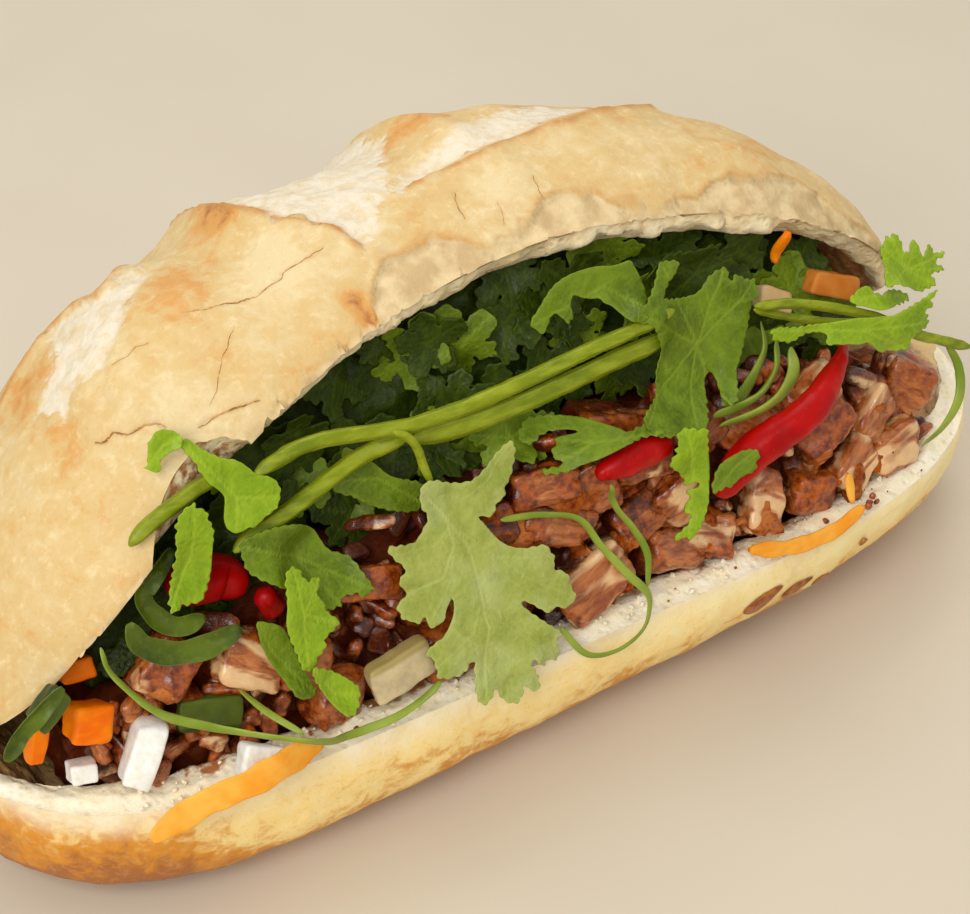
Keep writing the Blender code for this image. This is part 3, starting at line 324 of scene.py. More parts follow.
def srgb(red, green, blue):
    """A colour given as it looks on a screen, from 0 to 255, as the shader wants it."""
    return tuple(((c / 255 + 0.055) / 1.055) ** 2.4 if c > 10 else c / 3295 for c in (red, green, blue))


# The roll's shape


def along_roll(x):
    return np.clip((x - ROLL_CENTRE_X) / ROLL_HALF_LENGTH, -1.0, 1.0)


def half_width(x):
    return HALF_WIDTH * (1 - np.abs(along_roll(x)) ** TIP_FULLNESS) ** (1 / 1.9)


def front_width(x):
    fullness = np.where(x < ROLL_CENTRE_X, FRONT_LEFT_FULLNESS, TIP_FULLNESS)
    return HALF_WIDTH * (1 - np.abs(along_roll(x)) ** fullness) ** (1 / 1.9)


def middle_y(x):
    return BOW * (1 - along_roll(x) ** 2)


def lid_half_width(x):
    centre = (LID_LEFT + LID_RIGHT) / 2
    share = np.clip(np.abs(x - centre) / (LID_RIGHT - centre), 0, 1)
    return HALF_WIDTH * (1 - share**TIP_FULLNESS) ** (1 / 1.9)


def lid_height(x):
    return spline(STATIONS, LID_HEIGHTS, along_roll(x)) * (lid_half_width(x) / HALF_WIDTH) ** 0.86


def open_lid(x, y, z):
    """Turns points of the shut lid, with z above the cut, about the hinge."""
    angle = np.radians(spline(STATIONS, LID_ANGLES, along_roll(x)))
    hinge = middle_y(x) + HINGE_SHARE * half_width(x)
    dy = y - hinge
    back = hinge + dy * np.cos(angle) + z * np.sin(angle)
    return np.stack(np.broadcast_arrays(x, back, RIM_HEIGHT - dy * np.sin(angle) + z * np.cos(angle)), -1)


def score_relief(x, side):
    across = np.clip(x + SCORE_LEAN * side, SCORE_AT[0], SCORE_AT[-1])
    return spline(SCORE_AT, SCORE_RELIEF, across) * (1 - side**4)


def front_side(x):
    """The side value at which the lid's crust ends, above -1 where the edge is broken away."""
    inside = (x > BREAK_X[0]) & (x < BREAK_X[-1])
    lift = np.where(inside, spline(BREAK_X, BREAK_LIFT, np.clip(x, BREAK_X[0], BREAK_X[-1])), 0.0)
    ragged = fractal(np.stack((x, x * 0, x * 0), -1), 8, 3, 19) + 0.15
    fine = value_noise(np.stack((x, x * 0, x * 0), -1), 2.1, 20) + 0.4
    lift = lift + (1.7 * np.clip(ragged, 0, 1) + 0.7 * np.clip(fine, 0, 1)) * smooth((92 - np.abs(x)) / 10)
    return -((1 - (lift / lid_height(x)) ** 2) ** (1 / 2.4))


def crumb_width(width):
    return np.maximum(width - RIM_WIDTH, 0.2 * width)


def hollow_share(inner):
    return smooth((inner - SHUT_BELOW) / HOLLOW_GROWS_OVER)


def lid_point(x, side):
    """World points of the lid's crust, at a side from -1 at the front edge to 1 at the back."""
    width = lid_half_width(x)
    crown = lid_height(x)
    swell = 1 + score_relief(x, side) * width / HALF_WIDTH / crown
    rise = crown * swell * np.maximum(1 - np.abs(side) ** 2.4, 0) ** 0.5
    return open_lid(x, middle_y(x) + side * width * swell, rise)


def spread(count, evenness=0.35):
    """Shares from -1 to 1, closer together towards both ends."""
    even = np.linspace(-1, 1, count)
    return evenness * even + (1 - evenness) * np.sin(math.pi / 2 * even)


# Crust and crumb


def crust_finish(name, torn_colours, gold, blur):
    """Thin crackly crust: pale gold, browner in patches, with dusty cuts and torn places, painted shade in its cracks
    and partly along its lifted edges.
    """
    f = Finish(name, 0.6, Specular_IOR_Level=0.35)
    blotch = f.noise(17, 3, 0.6, 0.4)
    mottle = f.noise(3.2, 4, 0.65, 0.6)
    grain = f.noise(0.7, 3, 0.7)
    toast = f.maths("ADD", f.field("toast"), f.span(blotch, 0.35, 0.7, -0.35, 0.45))
    toast = f.maths("ADD", toast, f.span(mottle, 0.3, 0.72, -0.28, 0.34))
    colour = f.mix(f.span(toast, -0.9, 0.25), gold[0], gold[1])
    colour = f.mix(f.span(toast, 0.15, 0.9), colour, gold[2])
    colour = f.mix(f.span(toast, 0.85, 1.7), colour, srgb(172, 104, 46))
    speck = f.maths("MULTIPLY", f.span(grain, 0.55, 0.75), f.span(toast, -0.3, 0.8, 0.3, 0.7))
    colour = f.mix(speck, colour, srgb(208, 148, 72))
    pale = f.maths("MULTIPLY", f.span(f.noise(2.0, 4, 0.7), 0.5, 0.75), f.span(toast, -0.2, 0.9, 0.4, 0.15))
    colour = f.mix(pale, colour, srgb(246, 226, 180))
    dust = f.maths("ADD", f.field("flour"), f.span(f.noise(2.4, 4, 0.7), 0.3, 0.7, -0.3, 0.25))
    dust = f.span(dust, 0.15, 1.05, 0.0, 0.95)
    # Where the back field is set, the base crust takes the lid's golds, without the painted light given to its front.
    colour = f.mix(f.field("back"), colour, f.mix(f.span(toast, -0.9, 0.25), LID_GOLD[0], LID_GOLD[1]))
    powder = f.mix(f.span(mottle, 0.4, 0.75), srgb(232, 222, 200), srgb(222, 202, 162))
    colour = f.mix(dust, colour, powder)
    # Brown along lifted edges and the torn lip: partly the crust's browned edge, partly painted shade beside the lift.
    edge = f.maths("MULTIPLY", f.field("edge"), f.span(mottle, 0.25, 0.6, 0.35, 1.0))
    colour = f.mix(edge, colour, srgb(196, 138, 72))
    crumb = f.mix(f.span(f.noise(5.5, 3, 0.55), 0.36, 0.66), torn_colours[1], torn_colours[0])
    torn = f.field("torn")
    colour = f.mix(f.span(torn, 0.5 - blur, 0.5 + blur), colour, crumb)
    # Painted shade: dark brown along the cracks and crackle, standing in for the shade inside the splits.
    colour = f.mix(f.maths("MULTIPLY", f.field("crack"), 0.6), colour, srgb(150, 98, 50))
    relief = f.bump(grain, 0.12, 0.5)
    relief = f.bump(mottle, 0.35, 0.45, relief)
    relief = f.bump(f.maths("MULTIPLY", f.noise(1.1, 4, 0.7), f.maths("MAXIMUM", torn, f.field("flour"))), 0.5, 0.5, relief)
    rough = f.span(toast, -0.5, 1.2, 0.72, 0.48)
    return f.drive(Base_Color=colour, Roughness=rough, Normal=relief)


def crumb_finish(name, light, dark):
    """Soft crumb, full of holes, stained by sauce where the filling lies, and darker tan away from the rim: painted
    shade in the hollow.
    """
    f = Finish(name, 0.85, Subsurface_Weight=0.15, Subsurface_Scale=0.0015, Specular_IOR_Level=0.2)
    f.shader.inputs["Subsurface Radius"].default_value = (1.0, 0.75, 0.5)
    cloud = f.noise(5, 4, 0.6)
    fine = f.noise(1.1, 4, 0.65)
    holes = f.cells(1.7)
    colour = f.mix(f.span(cloud, 0.32, 0.7), light, dark)
    colour = f.mix(f.span(fine, 0.52, 0.8, 0.0, 0.6), colour, srgb(240, 226, 194))
    colour = f.mix(f.span(holes, 0.30, 0.08, 0.0, 0.25), colour, srgb(208, 182, 136))
    # Painted shade: a darker tan where the rim field falls to nought, in the hollow under the filling.
    deep = f.mix(cloud, srgb(196, 152, 88), srgb(222, 186, 124))
    colour = f.mix(f.span(f.field("rim"), 0.35, 0.0), colour, deep)
    wet = f.span(f.maths("ADD", f.field("sauce"), f.span(f.noise(2.2, 3, 0.6), 0.3, 0.7, -0.4, 0.3)), 0.35, 0.95)
    colour = f.mix(wet, colour, f.mix(cloud, srgb(150, 82, 40), srgb(196, 138, 84)))
    relief = f.bump(f.span(holes, 0.05, 0.5), 0.4, 0.5)
    relief = f.bump(fine, 0.4, 0.6, relief)
    rough = f.span(wet, 0.0, 1.0, 0.9, 0.42)
    return f.drive(Base_Color=colour, Roughness=rough, Normal=relief)


LID_CRUMB_FINISH = crumb_finish("lid_crumb", srgb(246, 230, 192), srgb(228, 202, 152))
BASE_CRUMB = crumb_finish("base_crumb", srgb(252, 243, 218), srgb(244, 230, 192))


# Crust from pale to toasted, and marks on the lid's crust, as x and side

LID_GOLD = (srgb(223, 202, 154), srgb(213, 182, 122), srgb(212, 156, 84))
# The base crust's golds are brighter than the lid's: painted light on its front, which the lamps leave in shade.
BASE_GOLD = (srgb(251, 233, 174), srgb(248, 218, 142), srgb(215, 141, 36))

FLOUR_LEFT = (
    (-51.5, -0.315), (-50.5, -0.488), (-60.2, -0.635), (-66.4, -0.675), (-70.3, -0.577), (-75.1, -0.61),
    (-78.5, -0.403), (-75.1, -0.364), (-71.3, -0.335), (-66.9, -0.1), (-59.7, -0.355), (-56.3, -0.403),
)
FLOUR_MIDDLE = (
    (-33.2, -0.285), (-31.2, -0.577), (-27.9, -0.776), (-22.1, -0.885), (-18.7, -0.954), (-13.9, -0.933),
    (-7.6, -0.865), (-0.4, -0.602), (1.5, -0.403), (1.0, 0.0), (-4.0, 0.28), (-12.0, 0.46),
    (-21.0, 0.42), (-28.5, 0.2), (-33.0, -0.05),
)
FLOUR_EAR = (
    (-7.1, -0.87), (-4.2, -0.82), (4.9, -0.782), (16.5, -0.69), (31.0, -0.602), (39.6, -0.551),
    (47.8, -0.568), (34.8, -0.734), (21.3, -0.838), (9.7, -0.875), (0.1, -0.87), (-6.2, -0.895),
)
LIFTED_EDGES = (
    ((-50.0, -0.2), (-55.8, -0.335), (-59.7, -0.355), (-62.1, -0.2), (-66.9, -0.1), (-70.3, -0.1), (-78.5, 0.016)),
    (
        (-36.0, 0.0), (-34.1, -0.234), (-33.6, -0.432), (-32.2, -0.594), (-28.3, -0.782), (-25.0, -0.849),
        (-21.1, -0.904), (-19.7, -0.944),
    ),
    (
        (-5.2, -0.885), (0.1, -0.885), (9.7, -0.885), (15.0, -0.87), (21.3, -0.85), (29.5, -0.83),
        (43.5, -0.71), (52.0, -0.6),
    ),
)
BROWN_PATCHES = (
    ((-34.8, -0.43), 5.0, 1.0),
    ((-33.0, -0.56), 4.0, 0.8),
    ((-52.0, -0.698), 6.5, 0.75),
    ((-45.2, -0.72), 7.0, 0.45),
    ((-74.6, -0.244), 6.0, 0.8),
    ((6.8, -0.6), 6.0, 1.2),
    ((25.9, -0.73), 3.2, 1.0),
    ((-24.5, -0.988), 2.2, 1.3),
    ((-24.0, -0.998), 2.0, 1.3),
    ((24.0, -0.79), 9.0, 0.35),
    ((40.0, -0.60), 9.0, 0.45),
    ((62.0, -0.93), 7.0, 0.3),
    ((-30.0, -0.955), 9.0, 0.35),
    ((-50.0, -0.95), 7.0, 0.3),
)
PALE_PATCHES = (
    ((-34.0, -0.85), 9.0, 0.9),
    ((-31.0, -0.90), 6.0, 0.7),
    ((-58.0, -0.93), 8.0, 0.35),
    ((10.0, -0.96), 9.0, 0.5),
)
CRACKS = (
    (0.30, ((-72.7, -0.789), (-71.3, -0.826), (-69.8, -0.832), (-67.9, -0.875), (-65.0, -0.895), (-63.1, -0.917), (-62.1, -0.937))),
    (0.28, ((-57.3, -0.973), (-54.4, -0.98), (-50.5, -0.988), (-46.7, -0.995))),
    (0.20, ((-25.0, -0.913), (-29.3, -0.909), (-33.2, -0.895), (-33.6, -0.904), (-39.4, -0.895), (-43.8, -0.87), (-51.0, -0.795))),
    (0.14, ((-65.0, -0.698), (-62.6, -0.742), (-60.6, -0.749), (-58.7, -0.776))),
    (0.12, ((-45.2, -0.913), (-48.1, -0.933), (-50.5, -0.944), (-52.5, -0.963), (-54.4, -0.968))),
    (0.22, ((1.5, -0.935), (0.1, -0.978))),
    (0.15, ((7.3, -0.975), (6.4, -0.993))),
    (0.15, ((16.0, -0.955), (15.0, -0.985))),
)

# How high the crust is torn away above the lid's front edge
TORN_X = (-23, -20.5, -16.3, -12.4, -7, -4, 0.6, 5.4, 10.2, 13.6, 18.9, 26.6, 29.5, 35.8, 40, 44.5, 48.8, 56.5, 65.7, 69, 74, 79, 92)
TORN_HIGH = (0, 5.5, 8.5, 8.0, 8.5, 6.5, 3.2, 2.2, 2.6, 5.6, 6.1, 3.5, 2.0, 1.3, 2.6, 2.0, 6.0, 6.2, 8.5, 7.2, 5.2, 2.4, 1.2)


def turned(places):
    """Places as x and side, with side as an angle, which spreads evenly round the crust."""
    places = np.array(places, float)
    return np.column_stack((places[:, 0], np.arcsin(places[:, 1])))


def crust_line(places, step=1.5):
    """A line over the lid's crust through places given as x and side."""
    places = turned(places)
    line = []
    for start, end in zip(places[:-1], places[1:]):
        count = max(2, int(np.hypot(*((end - start) * (1, 35))) / step))
        line += [start + (end - start) * k / count for k in range(count)]
    line = np.array(line + [places[-1]])
    return lid_point(line[:, 0], np.sin(line[:, 1]))


def line_distance(points, line):
    """How far each point is from a line."""
    flat = points.reshape(-1, 3)
    nearest = np.full(len(flat), 1e9)
    for start, end in zip(line[:-1], line[1:]):
        run = end - start
        share = np.clip((flat - start) @ run / max(run @ run, 1e-9), 0, 1)
        nearest = np.minimum(nearest, ((flat - start - share[:, None] * run) ** 2).sum(1))
    return np.sqrt(nearest).reshape(points.shape[:-1])


def inside(x, y, outline):
    """Which places lie inside an outline, in the plane."""
    result = np.zeros(np.shape(x), bool)
    for (ax, ay), (bx, by) in zip(outline, np.roll(outline, -1, axis=0)):
        crosses = (ay > y) != (by > y)
        result ^= crosses & (x < (bx - ax) * (y - ay) / (by - ay if by != ay else 1e-9) + ax)
    return result


def patches(points, spots):
    """Soft round patches on the lid, each given as its place, size and strength."""
    total = np.zeros(points.shape[:-1])
    for (x, side), size, strength in spots:
        away = np.linalg.norm(points - lid_point(np.float64(x), np.float64(side)), axis=-1) / size
        total = total + strength * np.exp(-(away**2))
    return total


def flour_on_lid(x, side, points):
    """Where the baker's cuts have opened and left the crust pale and dusty."""
    angle = np.arcsin(side) + 0.03 * fractal(points, 7, 3, 5)
    shifted = x + 1.6 * fractal(points, 5, 3, 9)
    total = np.zeros(x.shape)
    for region in (FLOUR_LEFT, FLOUR_MIDDLE, FLOUR_EAR):
        edge = crust_line(region + region[:1])
        away = line_distance(points, edge)
        within = inside(shifted, angle, turned(region))
        total = np.maximum(total, smooth(0.5 + np.where(within, away, -away) / 4.0))
    return total


def build_lid_crust():
    shares = spread(400)
    centre, reach = (LID_LEFT + LID_RIGHT) / 2, (LID_RIGHT - LID_LEFT) / 2
    x = (centre + reach * 0.9999999 * shares)[:, None]
    front = front_side(x)
    front = front - 0.004 * (value_noise(np.stack([x[:, 0], x[:, 0] * 0, x[:, 0] * 0], -1), 3.1, 3) * 0.5 + 0.5)[:, None] * (front + 1 > 1e-4)
    share = spread(215, 0.12)[None, :]
    side = np.clip(front + (share + 1) * (1 - front) / 2, -1, 1)[:, ::-1]
    x = np.broadcast_to(x, side.shape)
    base = lid_point(x, side)
    normal = grid_normals(base)
    outward = np.sign(((base - base.mean(1, keepdims=True)) * normal).sum(-1).mean())
    normal = normal * outward
    tip = smooth(lid_half_width(x) / 16)
    high = lid_height(x) * np.maximum(1 - np.abs(side) ** 2.4, 0) ** 0.5
    in_front = smooth((-side - 0.55) / 0.2)
    flour = flour_on_lid(x, side, base)
    ragged = spline(TORN_X, TORN_HIGH, np.clip(x, TORN_X[0], TORN_X[-1])) * (x > TORN_X[0]) * (x < 96)
    ragged = ragged + 1.5 * fractal(base, 4.5, 3, 21) * (ragged > 0.4) + 0.35 + 0.5 * value_noise(base, 2.2, 8)
    torn = smooth((ragged - high) / 0.9 + 0.5) * in_front
    # lip: a raised ridge along the torn line, also browned in the finish, partly as painted shade.
    lip = np.exp(-(((high - ragged - 0.8) / 0.9) ** 2)) * in_front * smooth((ragged - 1.0) / 2)
    brown = patches(base, BROWN_PATCHES)
    pale = patches(base, PALE_PATCHES)
    # edge: the lifted cut edges, browned in the finish partly as painted shade beside them.
    edge = np.zeros(x.shape)
    ledge = np.zeros(x.shape)
    for line in LIFTED_EDGES:
        away = line_distance(base, crust_line(line))
        wobble = 0.6 * fractal(base, 3, 2, 31)
        edge = np.maximum(edge, np.exp(-(((away + wobble * 0.6) / 0.75) ** 2)))
        ledge = np.maximum(ledge, np.exp(-((away / 3.5) ** 2)) * (1 - flour))
    # Cracks and fine crackle: a shallow groove, with painted shade along it from the finish.
    crack = np.zeros(x.shape)
    for depth, line in CRACKS:
        away = line_distance(base + 0.3 * np.stack([value_noise(base, 2.4, s) for s in (41, 42, 43)], -1), crust_line(line))
        crack = np.maximum(crack, np.exp(-((away / 0.36) ** 2)) * depth / 0.3)
    crackle = ridged(base, 17, 2, 77) ** 14 * (value_noise(base, 9, 12) > 0.1) * 0.35 * (1 - flour)
    swell = 0.55 * fractal(base, 15, 2, 1) + 0.20 * fractal(base, 4.5, 2, 2) + 0.06 * fractal(base, 1.6, 2, 3)
    dry = flour * (-0.55 + 0.30 * fractal(base, 2.6, 3, 4))
    rough = torn * (-0.8 + 0.5 * fractal(base, 5.0, 3, 6))
    lift = swell + dry + rough + 0.75 * edge * (0.6 + 0.4 * value_noise(base, 4, 14)) + 0.9 * ledge
    lift = lift - 0.3 * crack - 0.25 * crackle + 0.35 * lip
    points = base + normal * (lift * tip)[..., None]
    fields = {
        "flour": flour,
        "torn": torn,
        "toast": np.clip(brown - 0.8 * pale, -1, 2) + 0.25 * smooth((0.3 + side) / 0.6),
        "crack": np.clip(0.5 * crack + 0.55 * crackle, 0, 1),
        "edge": np.clip(edge + 0.5 * lip, 0, 1),
    }
    fields = {name: values.ravel() for name, values in fields.items()}
    faces = grid_faces(*side.shape, sign=outward)
    add_piece("lid_crust", points.reshape(-1, 3), faces, crust_finish("lid_crust", (srgb(228, 204, 156), srgb(198, 170, 122)), LID_GOLD, 0.3), ["bread"], fields)
    return x[:, 0], points


def build_lid_crumb(x, crust):
    """The lid's torn front edge and its hollow, from the crust's front edge back to the hinge."""
    edge = crust[:, -1]
    width = lid_half_width(x)
    inner = crumb_width(width)
    depth = np.maximum(lid_height(x) - LID_CRUMB, 0) * hollow_share(inner)
    web = HINGE_WEB * hollow_share(inner)
    columns = []
    rows = x[:, None]
    share = spread(70, 0.3)[None, :]
    side = np.broadcast_to(share, (len(x), share.shape[1]))
    dome = depth[:, None] * np.maximum(1 - np.abs(side) ** 2.6, 0) ** 0.5
    roof = open_lid(rows, middle_y(rows) + side * inner[:, None], dome)
    for t in np.linspace(0, 1, 19)[:-1]:
        columns.append(edge * (1 - t) + roof[:, 0] * t)
    columns += [roof[:, k] for k in range(roof.shape[1])]
    for t in (0.5, 1.0):
        columns.append(open_lid(x, middle_y(x) + inner, -web * t))
    base = np.stack(columns, 1)
    normal = grid_normals(base)
    toward = np.array([0.0, -0.7, -0.7])
    sign = np.sign((normal @ toward).mean())
    normal = normal * sign
    across = np.arange(base.shape[1])[None, :] / 18
    # rim is 1 on the torn front face and falls to nought up the hollow, where the finish paints shade.
    rim = smooth(1.3 - across)
    held = smooth(across * 3) * smooth((width[:, None]) / 14)
    torn = np.interp(x, TORN_X, np.array(TORN_HIGH) > 1)[:, None]
    bulge = np.sin(np.clip(across, 0, 1) * math.pi) * (0.6 + 1.4 * torn) * (0.6 + 0.6 * value_noise(base, 9, 51))
    lumps = (0.7 + 0.7 * torn * rim) * fractal(base, 7, 3, 52) + 0.2 * fractal(base, 2.2, 2, 54)
    lift = (bulge + lumps) * held
    points = base + normal * lift[..., None]
    soaked = 0.9 * smooth((x - 58) / 14)[:, None] * (1 - rim)
    # Near x = -62 the crumb along the broken notch is also darkened to the same brown.
    soaked = np.maximum(soaked, 0.7 * smooth(1 - np.abs(x + 62) / 30)[:, None] * smooth(1.5 - across))
    fields = {"rim": np.broadcast_to(rim, lift.shape).ravel(), "sauce": soaked.ravel()}
    faces = grid_faces(*lift.shape, sign=sign)
    add_piece("lid_crumb", points.reshape(-1, 3), faces, LID_CRUMB_FINISH, ["bread"], fields)


def lower_point(x, side):
    power = spline(STATIONS, UNDERSIDE_POWERS, along_roll(x))
    thin = (half_width(x) / HALF_WIDTH) ** 0.3
    width = np.where(side < 0, front_width(x), half_width(x))
    rise = np.maximum(1 - np.abs(side) ** power, 0) ** (1 / power) * thin
    return np.stack(np.broadcast_arrays(x, middle_y(x) + side * width, RIM_HEIGHT * (1 - rise)), -1)


def build_lower_half():
    x = (ROLL_CENTRE_X + ROLL_HALF_LENGTH * 0.9999999 * spread(320))[:, None]
    side = spread(190, 0.1)[None, :]
    base = lower_point(x, side)
    wide_x, wide_side = np.broadcast_arrays(x, side)
    normal = grid_normals(base)
    sign = np.sign(((base - base.mean(1, keepdims=True)) * normal).sum(-1).mean())
    normal = normal * sign
    height = base[..., 2]
    tip = smooth(half_width(wide_x) / 14)
    off_floor = smooth((height - 0.4) / 2.5)
    near_rim = smooth((RIM_HEIGHT - height) / 3.0)
    lift = 0.5 * fractal(base, 14, 2, 61) + 0.16 * fractal(base, 4, 2, 62) + 0.05 * fractal(base, 1.5, 2, 63)
    wrinkle = ridged(base * (0.45, 1, 1), 6, 2, 64) ** 6
    lift = (lift + 0.12 * wrinkle) * tip * off_floor * (0.35 + 0.65 * near_rim)
    points = base + normal * lift[..., None]
    rounding = smooth(1 - (RIM_HEIGHT - height) / 2.2) * (wide_side < 0)
    points[..., 2] -= 0.5 * rounding
    points[..., 1] += 0.8 * rounding * tip
    points[..., 2] = np.maximum(points[..., 2], 0.0)
    bare = smooth((height - 26.2 + 0.8 * fractal(base, 5, 3, 66)) / 3.0) * (wide_side < 0)
    toast = smooth((19 - height + 5 * fractal(base, 16, 2, 67)) / 17) - 0.7 * smooth((height - 17) / 9)
    left = smooth((-58 - wide_x) / 34)
    fields = {
        "flour": np.zeros(base.shape[:2]),
        "torn": bare,
        "toast": np.clip(toast + 0.15 + 1.1 * left, -1, 2),
        "crack": 0.3 * wrinkle * near_rim * (value_noise(base, 12, 68) > 0.3),
        "edge": np.zeros(base.shape[:2]),
        # back: where the base crust takes the lid's golds instead of the painted light on its front.
        "back": smooth((base[..., 1] - 6) / 22) * smooth((height - 8) / 14),
    }
    fields = {name: np.asarray(values, float).ravel() for name, values in fields.items()}
    faces = grid_faces(*base.shape[:2], sign=sign)
    add_piece("base_crust", points.reshape(-1, 3), faces, crust_finish("base_crust", (srgb(250, 238, 208), srgb(242, 224, 180)), BASE_GOLD, 0.5), ["bread"], fields)
    flat_x = x[:, 0]
    front_inner = crumb_width(front_width(flat_x))
    back_inner = crumb_width(half_width(flat_x))
    depth = (RIM_HEIGHT - LOWER_FLOOR) * hollow_share(back_inner)
    share = spread(80, 0.2)[None, :]
    inner = np.where(share < 0, front_inner[:, None], back_inner[:, None])
    sunk = RIM_HEIGHT - depth[:, None] * np.maximum(1 - np.abs(share) ** 3, 0) ** 0.4
    floor = np.stack(np.broadcast_arrays(x, middle_y(x) + share * inner, sunk), -1)
    start = points[:, 0]
    end = points[:, -1]
    steps = np.linspace(0, 1, 17)[:-1]
    columns = [start * (1 - t) + floor[:, 0] * t for t in steps]
    columns += [floor[:, k] for k in range(floor.shape[1])]
    columns += [floor[:, -1] * (1 - t) + end * t for t in (0.25, 0.5, 0.75, 1.0)]
    base = np.stack(columns, 1)
    normal = grid_normals(base)
    sign = np.sign(normal[..., 2].mean())
    normal = normal * sign
    across = np.arange(base.shape[1])[None, :] / 16
    # rim is 1 along the cut rim and falls to nought in the hollow, where the finish paints shade.
    rim = smooth(1.4 - across)
    held = smooth(across * 2.5) * smooth(across[:, ::-1] * 4) * smooth(half_width(x) / 14)
    dome = 0.9 * np.sin(np.clip(across, 0, 1) * math.pi)
    lumps = 0.8 * fractal(base, 5, 4, 71) + 0.3 * fractal(base, 1.8, 2, 72)
    lift = (dome + lumps) * held
    points = base + normal * lift[..., None]
    stain = smooth((across - 0.55 + 0.35 * fractal(base, 7, 3, 73)) / 0.5) * smooth((84 - x) / 14)
    stain = stain * smooth((x + 82) / 14)
    # Painted shade: at the right end the crumb takes a little of the darker tan, where it lies in shade.
    rim = np.maximum(rim, 0.1 * smooth((x - 74) / 8))
    fields = {"rim": np.broadcast_to(rim, lift.shape).ravel(), "sauce": np.broadcast_to(stain, lift.shape).ravel()}
    faces = grid_faces(*lift.shape, sign=sign)
    add_piece("base_crumb", points.reshape(-1, 3), faces, BASE_CRUMB, ["bread"], fields)


build_lid_crumb(*build_lid_crust())
build_lower_half()


# The filling's pieces, as in the part

BLOCKS = {
    "cucumber_slice_left": ("cucumber", -12, (-72.5, 16.5), (-61.5, 10.5), 7.0, 4.0),
    "cucumber_slice_far": ("cucumber", -14, (-97.0, 25.0), (-89.5, 28.0), 5.0, 4.0),
    "cucumber_slice_front": ("cucumber", -12, (-41.0, 7.5), (-28.0, 12.5), 8.0, 4.5),
    "daikon_left": ("daikon", -12, (-92.0, 12.0), (-86.5, 9.8), 4.5, 6.0),
    "daikon_stick": ("daikon", -12, (-77.2, 18.0), (-82.8, 6.2), 6.0, 8.0),
    "daikon_front": ("daikon", -12, (-67.5, 7.0), (-59.0, 3.8), 7.0, 5.0),
    "carrot_stick_left": ("carrot", -12, (-93.8, 22.2), (-95.4, 13.4), 3.4, 6.0),
    "carrot_chunk_left": ("carrot", -12, (-90.6, 21.6), (-82.8, 18.4), 7.6, 9.0),
    "carrot_chunk_upper": ("carrot", -12, (-88.0, 28.4), (-81.5, 26.6), 4.5, 7.0),
    "daikon_under_lid": ("daikon", -12, (56.5, 46.6), (65.5, 44.0), 5.0, 6.0),
    "carrot_slice_under_lid": ("carrot", -12, (66.0, 47.5), (78.0, 43.0), 6.0, 5.0),
}
CHILLIES = {
    "chilli_left": (
        -8, ((-68.3, 37.1), (-64.5, 36.5), (-59.0, 35.3), (-54.8, 32.2)), (2.8, 4.3, 4.5, 2.6)),
    "chilli_small_left": (-8, ((-54.8, 32.8), (-51.7, 26.8)), (2.2, 2.4)),
    "chilli_middle": (-8, ((8.4, 31.0), (14.0, 31.7), (20.0, 32.0), (25.9, 31.5)), (1.2, 3.2, 3.5, 2.2)),
    "chilli_long": (
        -6,
        ((32.3, 18.5), (38.7, 23.1), (48.2, 27.0), (56.1, 29.9), (63.0, 32.7), (69.3, 35.8)),
        (2.4, 3.7, 3.6, 3.1, 2.0, 0.5),
    ),
}
# Leaves: centre and, where the outline isn't traced, each lobe's tip, width and the notch after it
LEAVES = {
    "coriander_curled": (
        (44.0, 56.0),
        ((33.8, 52.0, 2.4, 0.7), (36.2, 60.6, 6, 0.7), (48.9, 60.3, 7, 0.8), (52.8, 56.4, 6, 0.7), (49.3, 49.4, 7, 0.6)),
    ),
    "coriander_behind_left": ((-27.8, 42.3), ()),
    "coriander_behind_middle": (
        (-1.4, 40.4),
        ((-9.5, 43.6, 7, 0.6), (-8.2, 37.9, 6, 0.6), (0.6, 35.9, 7, 0.6), (7.9, 42.0, 2.4, 0.8), (-2.8, 44.6, 5, 0.8)),
    ),
    "coriander_behind_right": ((9.7, 37.2), ()),
    "coriander_broad_left": ((-46.5, 35.5), ()),
    "coriander_fold_left": ((-55.9, 22.6), ()),
    "coriander_over_lid": ((-55.3, 50.1), ()),
    "coriander_curl_over_lid": ((-65.0, 62.6), ()),
    "coriander_hanging_left": ((-64.8, 43.2), ()),
    "coriander_bright_left": ((-49.6, 27.2), ()),
    "coriander_bright_low": ((-47.9, 12.0), ()),
    "coriander_arm": ((19.9, 62.0), ()),
    "coriander_centre": ((36.4, 45.8), ()),
    "coriander_hanging_centre": ((27.7, 23.8), ()),
    "coriander_on_chilli": ((33.7, 24.5), ()),
    "coriander_sprig_tip": ((82.6, 45.6), ()),
    "coriander_sprig_low": ((72.9, 43.7), ()),
    "coriander_sprig_blade": ((67.7, 38.9), ()),
    "coriander_front": ((-19.4, 21.9), ()),
}
